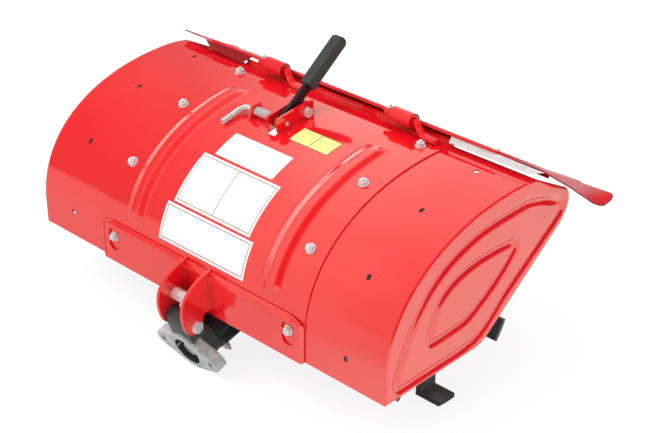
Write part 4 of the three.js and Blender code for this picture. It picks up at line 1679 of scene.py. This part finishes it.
@dataclass
class DepthControl:
    """Brackets, lever, grip, sprung lock pin and skid."""

    lock: Flat = (202.0, 252.0)
    lock_radius: float = 4.6
    coil_from: float = -69.0
    coil_to: float = -34.5

    def build(self) -> None:
        """Builds every piece of the depth control."""
        for side in Side:
            polished(f"lever_bracket_{side.word}", 0.9, RED_PAINT, Body.HOOD)
        polished("lock_pin_guide", 0.8, RED_PAINT, Body.HOOD)
        polished("lever_pivot_bolt", 0.9, ZINC, Body.HOOD)
        polished("depth_lever", 0.9, BLACK_PAINT, Body.LEVER)
        polished("lever_grip", 1.6, RUBBER, Body.LEVER, 3)
        polished("depth_skid", 1.4, BLACK_PAINT, Body.LEVER)
        self.pin()
        self.coil()
        self.pin_nose()
        self.welds()

    def pin(self) -> None:
        """Bends the lock pin's rod into its handle."""
        y, z = self.lock
        control = DATUM.all([
            (-16, y, z), (-50, y, z), (-74, y, z), (-85, y, z), (-93, y - 2.4, z - 0.5),
            (-98, y - 9, z - 3.2), (-99.8, y - 18, z - 6.2), (-101, y - 32, z - 10.6), (-102, y - 47, z - 15),
        ])
        made = swept("lock_pin_rod", spline(control, 6), even(self.lock_radius))
        dressed(made, ZINC, Body.HOOD, ("lock_pin",))

    def coil(self) -> None:
        """Winds the lock pin's spring."""
        made = mesh_object("lock_pin_coil", [Vector((0, 0, 0))], [])
        grown(
            made, COIL_TREE,
            {
                "Turns": 8.5, "Radius": 6.6 * MM, "Length": (self.coil_to - self.coil_from) * MM,
                "Wire": 1.5 * MM, "Place": tuple(DATUM.at(self.coil_from, *self.lock)),
                "Finish": ZINC.material(),
            },
        )
        outward(made)
        dressed(made, ZINC, Body.HOOD, ("lock_pin_spring",))

    def pin_nose(self) -> None:
        """Shows the pin's end in the right bracket plate's hole."""
        way = Vector((1, 0, 0))
        spot = DATUM.at(-3.8, *self.lock)
        Fastener(washer=0.0, washer_thick=0.0, flats=6.6, height=2.0, stub=3.9, stub_height=3.6).set_at(
            "lock_pin_end", [(spot, way)], Body.HOOD, seed=4
        )

    def welds(self) -> None:
        """Welds the bracket plates and the guide to the hood."""
        lines = []
        for x in (-25.8, 1.8):
            lines.append([(x, y, SECTION.top(y)) for y in (186, 200, 214, 230, 246, 262)])
        lines.append([(-74.6, y, SECTION.top(y)) for y in (189, 202, 215)])
        weld_piece("bracket_welds", lines, Body.HOOD, 1.4)


# ------------------------------------------------------------------ flap


@dataclass
class Flap:
    """Levelling flap: board, wings, hinge tubes and the bent rods that they turn on."""

    hinge: Flat = (322.0, 269.0)
    plane_z: float = 274.0
    hinge_x: float = 145.0
    tube_half: float = 22.0
    rod: float = 5.9
    foot_y: Flat = (307.0, 324.0)
    slope: float = 31.5
    wall: float = 2.0
    bolt: Flat = (291.0, 70.0)
    level: float = -2.3
    rim: float = 11.9
    apron_down: float = 20.0
    edge_radius: float = 1.15
    edge_from: int = 11
    straight: int = 4
    wing_edges: tuple[tuple[Point, Point], ...] = (
        ((232, 20, -2.3), (232, 192, -2.3)),
        ((324, 20, -2.3), (324, 192, -2.3)),
        ((345, 20, -2.3), (338, 193, 1.2)),
        ((398, 22, -2.2), (372, 194, 2.2)),
        ((404, 28, -3.0), (375, 194, 2.3)),
        ((424, 90, -11.0), (378, 194, 2.4)),
        ((427, 97, -12.4), (382, 194, 0.6)),
        ((438, 142, -20.2), (424, 196, 2.2)),
        ((440, 152, -21.0), (432, 196.5, 2.6)),
        ((442, 161, -20.8), (438, 196, 2.0)),
        ((443.6, 169, -19.6), (441.5, 194, -1.0)),
        ((444.6, 176, -17.0), (443.6, 190, -6.0)),
    )

    def on(self, x: float, down: float, above: float) -> Vector:
        """Point on the flap.

        Args:
            x: place across the machine.
            down: millimetres from the hinge axis down the slope.
            above: millimetres over the flap's middle plane.

        Returns:
            The point in metres.
        """
        c, s = math.cos(math.radians(self.slope)), math.sin(math.radians(self.slope))
        return DATUM.at(
            x, self.hinge[0] + down * c + above * s, self.plane_z - down * s + above * c
        )

    def build(self) -> None:
        """Builds every piece of the flap and its hinges."""
        # The board takes the flap's painted shade and painted reflection.
        polished("flap_board", 0.8, FLAP_SHADED_RED, Body.FLAP)
        for side in Side:
            self.wing(side)
            polished(f"hinge_tube_{side.word}", 0.9, TUBE_PAINT, Body.FLAP)
            self.hinge_rod(side)
            self.tube_rims(side)
        # Sheets of painted shade in the gap between flap and hood: dark red on the left for the flap's shaded
        # underside, pale grey on the right for the shadowed backdrop.
        self.apron(
            Side.LEFT, ((-341.0, -3.6), (-222.0, -3.6)), ((-320.0, -17.0), (-240.0, -20.0)), EDGE_SHADE_RED
        )
        self.apron(
            Side.RIGHT, ((232.0, -3.6), (412.0, -4.0)), ((232.0, -15.0), (388.0, -14.0)), GAP_SHADE_GREY
        )
        self.bolts()
        self.split_pins()
        self.welds()

    def wing(self, side: Side) -> None:
        """Presses one wing; the right one's outer front corner is bent down.

        Args:
            side: which wing.
        """
        across, finer = 16, 5

        def run(end: int) -> list[Vector]:
            """The wing's front edge or its rear one, straight at first and then curved."""
            edge = [Vector(pair[end]) for pair in self.wing_edges]
            straight, curved = edge[: self.straight], edge[self.straight :]
            steps = [a.lerp(b, k / finer) for a, b in zip(straight, edge[1:]) for k in range(finer)]
            return steps + spline(curved, finer)

        front, rear = run(0), run(1)
        if side is Side.LEFT:
            for point in (*front, *rear):
                point.z = max(point.z, self.level)
        edges = list(zip(front, rear))

        def surface(offset: float) -> list[list[Vector]]:
            """One face of the wing, at a height over its middle."""
            rows = []
            for i in range(across + 1):
                places = [a.lerp(b, i / across) for a, b in edges]
                rows.append([self.on(side.value * p.x, p.y, p.z + offset) for p in places])
            return rows

        made = grid_shell(
            f"flap_wing_{side.word}_sheet", surface(self.wall / 2), surface(-self.wall / 2)
        )
        # The wing takes the flap's painted shade and painted reflection.
        dressed(made, FLAP_SHADED_RED, Body.FLAP, (f"flap_wing_{side.word}",))
        end_front, end_rear = edges[-1]
        tip = [end_front.lerp(end_rear, k / 6) for k in range(1, 6)]
        outline = [*front[self.edge_from :], *tip, *reversed(rear[self.edge_from :])]
        control = [self.on(side.value * min(p.x, 444.0), p.y, p.z) for p in outline]
        # The outline tube is dark red painted shade: the shaded edge of the wing's sheet.
        edge = swept(f"flap_wing_{side.word}_edge", control, even(self.edge_radius), 8)
        dressed(edge, EDGE_SHADE_RED, Body.FLAP)

    def hinge_rod(self, side: Side) -> None:
        """Bends one hinge rod and flattens its foot on the hood.

        Args:
            side: which hinge.
        """
        x, (y, z) = side.value * self.hinge_x, self.hinge
        out = x + self.tube_half
        foot_y = (self.foot_y[0] + self.foot_y[1]) / 2
        rest = SECTION.top(self.foot_y[0]) + 4.6
        control = DATUM.all([
            (out - 60, y, z), (out - 30, y, z), (out - 5, y, z), (out + 4, y, z - 0.4),
            (out + 9, y - 1.5, z - 3), (out + 14, y - 3, z - 8), (out + 19, foot_y + 1, rest + 4.6),
            (out + 26, foot_y, rest + 1.0), (out + 38, foot_y, rest), (out + 53, foot_y, rest - 0.3),
        ])

        def oval(share: float) -> tuple[float, float]:
            """The rod's section along its length."""
            flat = smooth_step((share - 0.72) / 0.14)
            tip = smooth_step((share - 0.95) / 0.05)
            wide = self.rod + 3.4 * flat - 1.2 * tip
            return wide * MM, (self.rod - 1.4 * flat - 0.4 * tip) * MM

        made = swept(f"hinge_pin_{side.word}_rod", spline(control, 7), oval)
        dressed(made, TUBE_PAINT, Body.HOOD, (f"hinge_pin_{side.word}",))

    def tube_rims(self, side: Side) -> None:
        """Rolls a thin dark ring at both ends of a hinge tube: painted shade of the tube's bore round the
        rod.

        Args:
            side: which hinge.
        """
        y, z = self.hinge
        for end in (-1, 1):
            x = side.value * self.hinge_x + end * (self.tube_half - 0.4)
            angles = np.linspace(0.0, math.tau * 0.999, 40)
            ring = [(x, y + self.rim * math.sin(a), z + self.rim * math.cos(a)) for a in angles]
            made = swept(
                f"hinge_rim_{side.word}_{'near' if end < 0 else 'far'}", DATUM.all(ring),
                even(1.0), 8, Vector((1, 0, 0)),
            )
            dressed(made, EDGE_SHADE_RED, Body.FLAP)

    def apron(self, side: Side, upper: tuple[Flat, Flat], lower: tuple[Flat, Flat], finish: Finish) -> None:
        """Hangs a sheet under a wing's front edge behind the hood, coloured as painted shade for the gap
        between flap and hood.

        Args:
            side: which wing.
            upper: ends of the fold's upper edge, across and over the flap's middle plane.
            lower: ends of its lower edge.
            finish: its colour, painted shade.
        """
        shares = np.linspace(0.0, 1.0, 10)
        surfaces = []
        for offset in (2.0, 0.0):
            rows = []
            for start, end in (upper, lower):
                places = [[a + (b - a) * float(t) for a, b in zip(start, end)] for t in shares]
                rows.append([self.on(x, self.apron_down + offset, above) for x, above in places])
            surfaces.append(rows)
        made = grid_shell(f"flap_wing_{side.word}_apron", *surfaces)
        outward(made)
        dressed(made, finish, Body.FLAP)

    def bolts(self) -> None:
        """Sets the bolts that hold the wings under the board."""
        x, down = self.bolt
        upwards = self.on(0, 0, 1) - self.on(0, 0, 0)
        top = [(self.on(side * x, down, 1.0), upwards) for side in (-1, 1)]
        under = [(self.on(side * x, down, -3.4), -upwards) for side in (-1, 1)]
        Fastener(washer=7.6, washer_thick=1.2, height=0.0, stub=3.4, stub_height=2.2).set_at(
            "flap_bolt_heads", top, Body.FLAP, seed=6
        )
        Fastener(washer=8.6).set_at("flap_bolt_nuts", under, Body.FLAP, seed=7)

    def split_pins(self) -> None:
        """Puts a split pin through the free end of each hinge rod."""
        y, z = self.hinge
        for side in Side:
            x = side.value * self.hinge_x - self.tube_half - 7.0
            eye = [
                (x, y + 3.2 * math.sin(a), z + 9.5 - 3.0 * math.cos(a))
                for a in np.linspace(0.0, math.tau * 0.94, 10)
            ]
            control = DATUM.all([(x, y, z - 12), (x, y - 0.4, z - 2), (x, y, z + 5.6), *eye])
            made = swept(f"split_pin_{side.word}", spline(control, 3), even(1.3), 10)
            dressed(made, ZINC, Body.HOOD)

    def welds(self) -> None:
        """Welds the tubes to the board and the rods' feet to the hood."""
        seam, front = self.tube_half - 1, self.foot_y[0] - 0.6
        tubes, feet = [], []
        for side in (-1, 1):
            x = side * self.hinge_x
            tubes.append([self.drawn(self.on(x + dx, 15.6, 1.2)) for dx in (-seam, seam)])
            feet.append([(x + self.tube_half + dx, front, SECTION.top(front)) for dx in (24, 50)])
        weld_piece("tube_welds", tubes, Body.FLAP, 1.6)
        weld_piece("foot_welds", feet, Body.HOOD, 1.5)

    @staticmethod
    def drawn(point: Vector) -> Point:
        """Turns a point of the row frame back into the drawing's millimetres."""
        return (point.x / MM, (point.y - DATUM.y) / MM, (point.z - DATUM.z) / MM)


# ------------------------------------------------------------------ rotor


@dataclass
class Rotor:
    """Rotor shaft and its six stars of tines."""

    star_x: tuple[float, ...] = (76.0, 186.0, 311.0)
    places: tuple[str, ...] = ("inner", "middle", "outer")
    phases: tuple[float, ...] = (15.0, 45.0, -32.0)
    axis: Flat = (196.0, 40.0)
    tines: tuple[int, ...] = (4, 4, 6)
    bolt_radius: Flat = (44.0, 54.0)
    bolt_shift: Flat = (-0.16, 0.16)
    arm_face: float = 11.0

    def build(self) -> None:
        """Builds the shaft, the stars and the bolts of the tines."""
        polished("rotor_shaft", 1.0, BLACK_PAINT, Body.ROTOR)
        for side in Side:
            for place in self.places:
                polished(
                    f"tine_star_{side.word}_{place}", 1.1, TINE_BLACK, Body.ROTOR, 2, 40
                )
        self.bolts()

    def bolts(self) -> None:
        """Sets two bolts on the root of every tine."""
        spots = []
        for side in Side:
            for x, place, phase, tines in zip(self.star_x, self.places, self.phases, self.tines):
                for k in range(tines):
                    way = side.value * (1 if place != "middle" or k % 2 == 0 else -1)
                    face = side.value * x + way * self.arm_face
                    for radius, shift in zip(self.bolt_radius, self.bolt_shift):
                        angle = math.radians(phase + 360 / tines * k) + shift
                        y = self.axis[0] + radius * math.cos(angle)
                        z = self.axis[1] + radius * math.sin(angle)
                        spots.append((DATUM.at(face, y, z), Vector((way, 0, 0))))
        Fastener(washer=0.0, washer_thick=0.0, flats=13, height=5.5, stub=3.8, stub_height=3).set_at(
            "tine_bolts", spots, Body.ROTOR, TINE_BLACK, 9
        )


# ------------------------------------------------------------------ labels


@dataclass(frozen=True)
class Label:
    """A blank label stuck on the hood, with an optional border line and a divider."""

    name: str
    x: Flat
    run: Flat
    ground: Finish
    line: Finish | None = None
    border: float = 4.0
    width: float = 1.25
    divider: bool = False
    thick: float = 0.12
    line_thick: float = 0.18
    under: float = 0.02

    def patch(self, name: str, x: Flat, run: Flat, lift: float, finish: Finish) -> None:
        """Lays one thin sheet on the hood.

        Args:
            name: the piece's name.
            x: its ends across the machine.
            run: its ends along the section.
            lift: height of its upper face over the hood's own face.
            finish: its finish.
        """
        rows = np.linspace(*run, max(2, int(abs(run[1] - run[0]) / 4) + 1))
        columns = np.linspace(*x, max(2, int(abs(x[1] - x[0]) / 20) + 1))
        surfaces = [
            [[DATUM.at(*SECTION.lifted(float(c), float(r), SHEET_FACE + h)) for c in columns] for r in rows]
            for h in (lift, self.under)
        ]
        made = grid_shell(name, *surfaces)
        dressed(made, finish, Body.HOOD)

    def build(self) -> None:
        """Builds the label's ground, border and divider."""
        self.patch(self.name, self.x, self.run, self.thick, self.ground)
        if self.line is None:
            return
        x0, x1 = self.x[0] + self.border, self.x[1] - self.border
        r0, r1 = self.run[0] + self.border, self.run[1] - self.border
        bars = [
            ((x0, x1), (r0, r0 + self.width)),
            ((x0, x1), (r1 - self.width, r1)),
            ((x0, x0 + self.width), (r0, r1)),
            ((x1 - self.width, x1), (r0, r1)),
        ]
        if self.divider:
            middle = (x0 + x1) / 2
            bars.append(((middle - self.width / 2, middle + self.width / 2), (r0, r1)))
        for i, (x, run) in enumerate(bars):
            self.patch(f"{self.name}_line_{i + 1}", x, run, self.line_thick, self.line)


LABELS = (
    Label("plate_label", (-66, 64), (249.6, 301.4), LABEL_WHITE),
    Label("wide_label", (-85.5, 88.5), (152, 244.6), LABEL_WHITE, LABEL_LINE, divider=True),
    Label("low_label", (-97, 100), (85, 148), LABEL_WHITE, LABEL_LINE),
    Label("small_label", (22, 107), (333, 371.6), LABEL_YELLOW, LABEL_DARK, border=0.0, divider=True),
)


# ------------------------------------------------------------------ studio


@dataclass
class Studio:
    """Camera, floor, world and lamps."""

    focal: float = 83.08
    sensor: float = 36.0
    eye: Point = (1551.4, -1334.0, 1306.1)
    right: Point = (0.72343, 0.6904, 0.0)
    up: Point = (-0.33816, 0.35434, 0.87183)
    back: Point = (0.60191, -0.63071, 0.48981)
    floor_half: float = 14.0
    sky: float = 0.62
    aim_height: float = 0.15
    lamp_table: tuple[tuple[str, Point, float, float], ...] = (
        ("key", (-1.0, -2.2, 2.6), 2.2, 62.0),
        ("fill", (3.0, -0.8, 1.6), 2.0, 34.0),
        ("top", (0.3, 0.6, 3.2), 2.4, 30.0),
    )
    wall: tuple[Flat, ...] = (
        (0.0, 0.75), (0.11, 0.75), (0.25, 0.8), (0.40, 0.85), (0.60, 1.15), (0.75, 1.3), (1.0, 1.3),
    )
    sides: tuple[Flat, ...] = (
        (0.0, 2.4), (0.10, 2.0), (0.13, 0.28), (0.155, 0.4), (0.17, 0.6), (0.19, 1.3), (0.2075, 1.15),
        (0.225, 0.85), (0.30, 0.68), (0.50, 0.12), (1.0, 0.05),
    )
    floor_shine: Flat = (0.8, 1.5)
    floor_shine_end: float = 0.45
    floor_glow: float = 0.84
    shade_middle: Flat = (0.0, 0.06)
    shade_reach: tuple[Reach, Reach] = ((0.16, 0.27, 0.05, 0.13), (0.34, 0.50, 0.16, 0.32))

    def build(self) -> None:
        """Builds the whole studio."""
        self.camera()
        self.floor()
        self.world()
        self.lamps()
        bpy.context.scene.view_settings.view_transform = "Standard"

    def camera(self) -> None:
        """Places the camera."""
        data = bpy.data.cameras.new("camera")
        data.lens, data.sensor_width = self.focal, self.sensor
        data.clip_start, data.clip_end = 0.05, 100
        made = linked("camera", data)
        turn = Matrix((self.right, self.up, self.back)).transposed().to_4x4()
        made.matrix_world = Matrix.Translation(DATUM.at(*self.eye)) @ turn
        bpy.context.scene.camera = made

    def floor(self) -> None:
        """Lays the pale floor: white to the camera but for a painted shadow under the machine, and in
        reflections a glow that brightens towards +X, with a wider painted shadow under the machine.
        """
        half = self.floor_half
        corners = [Vector((x * half, y * half, 0)) for x, y in ((-1, -1), (1, -1), (1, 1), (-1, 1))]
        made = mesh_object("floor", corners, [(0, 1, 2, 3)])
        material = bpy.data.materials.new("pale_floor")
        material.use_nodes = True
        tree = material.node_tree
        tree.nodes.clear()
        output = added(tree, "ShaderNodeOutputMaterial")
        plain = added(tree, "ShaderNodeBsdfDiffuse", {"Color": (0.8, 0.8, 0.8, 1)})
        faint = added(tree, "ShaderNodeBsdfDiffuse", {"Color": (0.22, 0.22, 0.22, 1)})
        glow, shine = (added(tree, "ShaderNodeEmission") for _ in range(2))
        # Painted shadows under the machine: the smaller for the camera, the wider for reflections.
        shade, deep = (self.footprint(tree, reach) for reach in self.shade_reach)
        place, parts = added(tree, "ShaderNodeTexCoord"), added(tree, "ShaderNodeSeparateXYZ")
        low, high = self.floor_shine
        across = added(tree, "ShaderNodeMapRange", {
            "From Min": 0.0, "From Max": self.floor_shine_end, "To Min": low, "To Max": high,
        })
        tone = added(tree, "ShaderNodeMath", operation="MULTIPLY")
        path = added(tree, "ShaderNodeLightPath")
        seen = added(tree, "ShaderNodeAddShader")
        show, mirror = (added(tree, "ShaderNodeMixShader") for _ in range(2))
        connect(
            tree,
            (shade, glow.inputs["Strength"]),
            (place.outputs["Object"], parts.inputs[0]),
            (parts.outputs["X"], across.inputs["Value"]),
            (deep, tone.inputs[0]),
            (across.outputs["Result"], tone.inputs[1]),
            (tone.outputs[0], shine.inputs["Strength"]),
            (faint.outputs[0], seen.inputs[0]),
            (glow.outputs[0], seen.inputs[1]),
            (path.outputs["Is Camera Ray"], show.inputs[0]),
            (plain.outputs[0], show.inputs[1]),
            (seen.outputs[0], show.inputs[2]),
            (path.outputs["Is Glossy Ray"], mirror.inputs[0]),
            (show.outputs[0], mirror.inputs[1]),
            (shine.outputs[0], mirror.inputs[2]),
            (mirror.outputs[0], output.inputs["Surface"]),
        )
        made.data.materials.append(material)

    def footprint(self, tree: bpy.types.NodeTree, reach: Reach) -> bpy.types.NodeSocket:
        """Brightness of the floor with a painted shadow: a fixed patch under the machine where it falls off
        to nothing.

        Args:
            tree: the floor's node tree.
            reach: half widths of the dark patch and of its soft rim along X, then along Y, in metres.

        Returns:
            The socket that carries the brightness.
        """
        place, parts = added(tree, "ShaderNodeTexCoord"), added(tree, "ShaderNodeSeparateXYZ")
        most = added(tree, "ShaderNodeMath", operation="MAXIMUM")
        level = added(tree, "ShaderNodeMath", {1: self.floor_glow}, operation="MULTIPLY")
        connect(tree, (place.outputs["Object"], parts.inputs[0]), (most.outputs[0], level.inputs[0]))
        for i, (axis, middle) in enumerate(zip("XY", self.shade_middle)):
            shift = added(tree, "ShaderNodeMath", {1: middle}, operation="SUBTRACT")
            size = added(tree, "ShaderNodeMath", operation="ABSOLUTE")
            ends = {"From Min": reach[2 * i], "From Max": reach[2 * i + 1]}
            ramp = added(tree, "ShaderNodeMapRange", ends, interpolation_type="SMOOTHSTEP")
            connect(
                tree,
                (parts.outputs[axis], shift.inputs[0]),
                (shift.outputs[0], size.inputs[0]),
                (size.outputs[0], ramp.inputs["Value"]),
                (ramp.outputs["Result"], most.inputs[i]),
            )
        return level.outputs[0]

    def world(self) -> None:
        """Sets an even sky that is white to the camera and low behind the machine in reflections."""
        world = bpy.data.worlds.new("studio_sky")
        bpy.context.scene.world = world
        world.use_nodes = True
        tree = world.node_tree
        tree.nodes.clear()
        output = added(tree, "ShaderNodeOutputWorld")
        sky = added(tree, "ShaderNodeBackground", {"Strength": self.sky})
        white = added(tree, "ShaderNodeBackground", {"Strength": 1.0})
        wall = added(tree, "ShaderNodeBackground")
        path, place, parts = (
            added(tree, f"ShaderNode{kind}") for kind in ("LightPath", "TexCoord", "SeparateXYZ")
        )
        level, side = (added(tree, "ShaderNodeValToRGB") for _ in range(2))
        for curve, tones in ((level, self.wall), (side, self.sides)):
            ramp = curve.color_ramp
            for position, _ in tones[1:-1]:
                ramp.elements.new(position)
            for stop, (position, tone) in zip(ramp.elements, tones):
                stop.position, stop.color = position, (tone, tone, tone, 1)
        halved = added(tree, "ShaderNodeMapRange", {"From Min": -1.0})
        bright = added(tree, "ShaderNodeMath", operation="MULTIPLY")
        minus = added(tree, "ShaderNodeMath", {1: -1.0}, operation="MULTIPLY")
        around = added(tree, "ShaderNodeMath", operation="ARCTAN2")
        round_back = added(tree, "ShaderNodeMath", {1: math.pi}, operation="DIVIDE")
        glossy, seen = (added(tree, "ShaderNodeMixShader") for _ in range(2))
        connect(
            tree,
            (place.outputs["Generated"], parts.inputs[0]),
            (parts.outputs["Z"], around.inputs[0]),
            (minus.outputs[0], around.inputs[1]),
            (around.outputs[0], round_back.inputs[0]),
            (round_back.outputs[0], level.inputs[0]),
            (parts.outputs["Y"], minus.inputs[0]),
            (parts.outputs["X"], halved.inputs["Value"]),
            (halved.outputs["Result"], side.inputs[0]),
            (level.outputs["Color"], bright.inputs[0]),
            (side.outputs["Color"], bright.inputs[1]),
            (bright.outputs[0], wall.inputs["Strength"]),
            (path.outputs["Is Glossy Ray"], glossy.inputs[0]),
            (sky.outputs[0], glossy.inputs[1]),
            (wall.outputs[0], glossy.inputs[2]),
            (path.outputs["Is Camera Ray"], seen.inputs[0]),
            (glossy.outputs[0], seen.inputs[1]),
            (white.outputs[0], seen.inputs[2]),
            (seen.outputs[0], output.inputs["Surface"]),
        )

    def lamps(self) -> None:
        """Hangs the soft lamps, which aren't seen in reflections."""
        for name, place, size, power in self.lamp_table:
            data = bpy.data.lights.new(name, "AREA")
            data.size, data.energy = size, power
            lamp = linked(name, data)
            lamp.location = place
            lamp.rotation_mode = "QUATERNION"
            aim = Vector((0, 0, self.aim_height)) - lamp.location
            lamp.rotation_quaternion = aim.to_track_quat("-Z", "Y")
            lamp.visible_glossy = False


def main() -> None:
    """Builds the machine's pieces and the studio."""
    logging.basicConfig(level=logging.INFO, format="%(name)s %(message)s")
    Studio().build()
    for assembly in (Hood(), Coupling(), DepthControl(), Flap(), Rotor(), *LABELS):
        assembly.build()


if __name__ == "__main__":
    main()
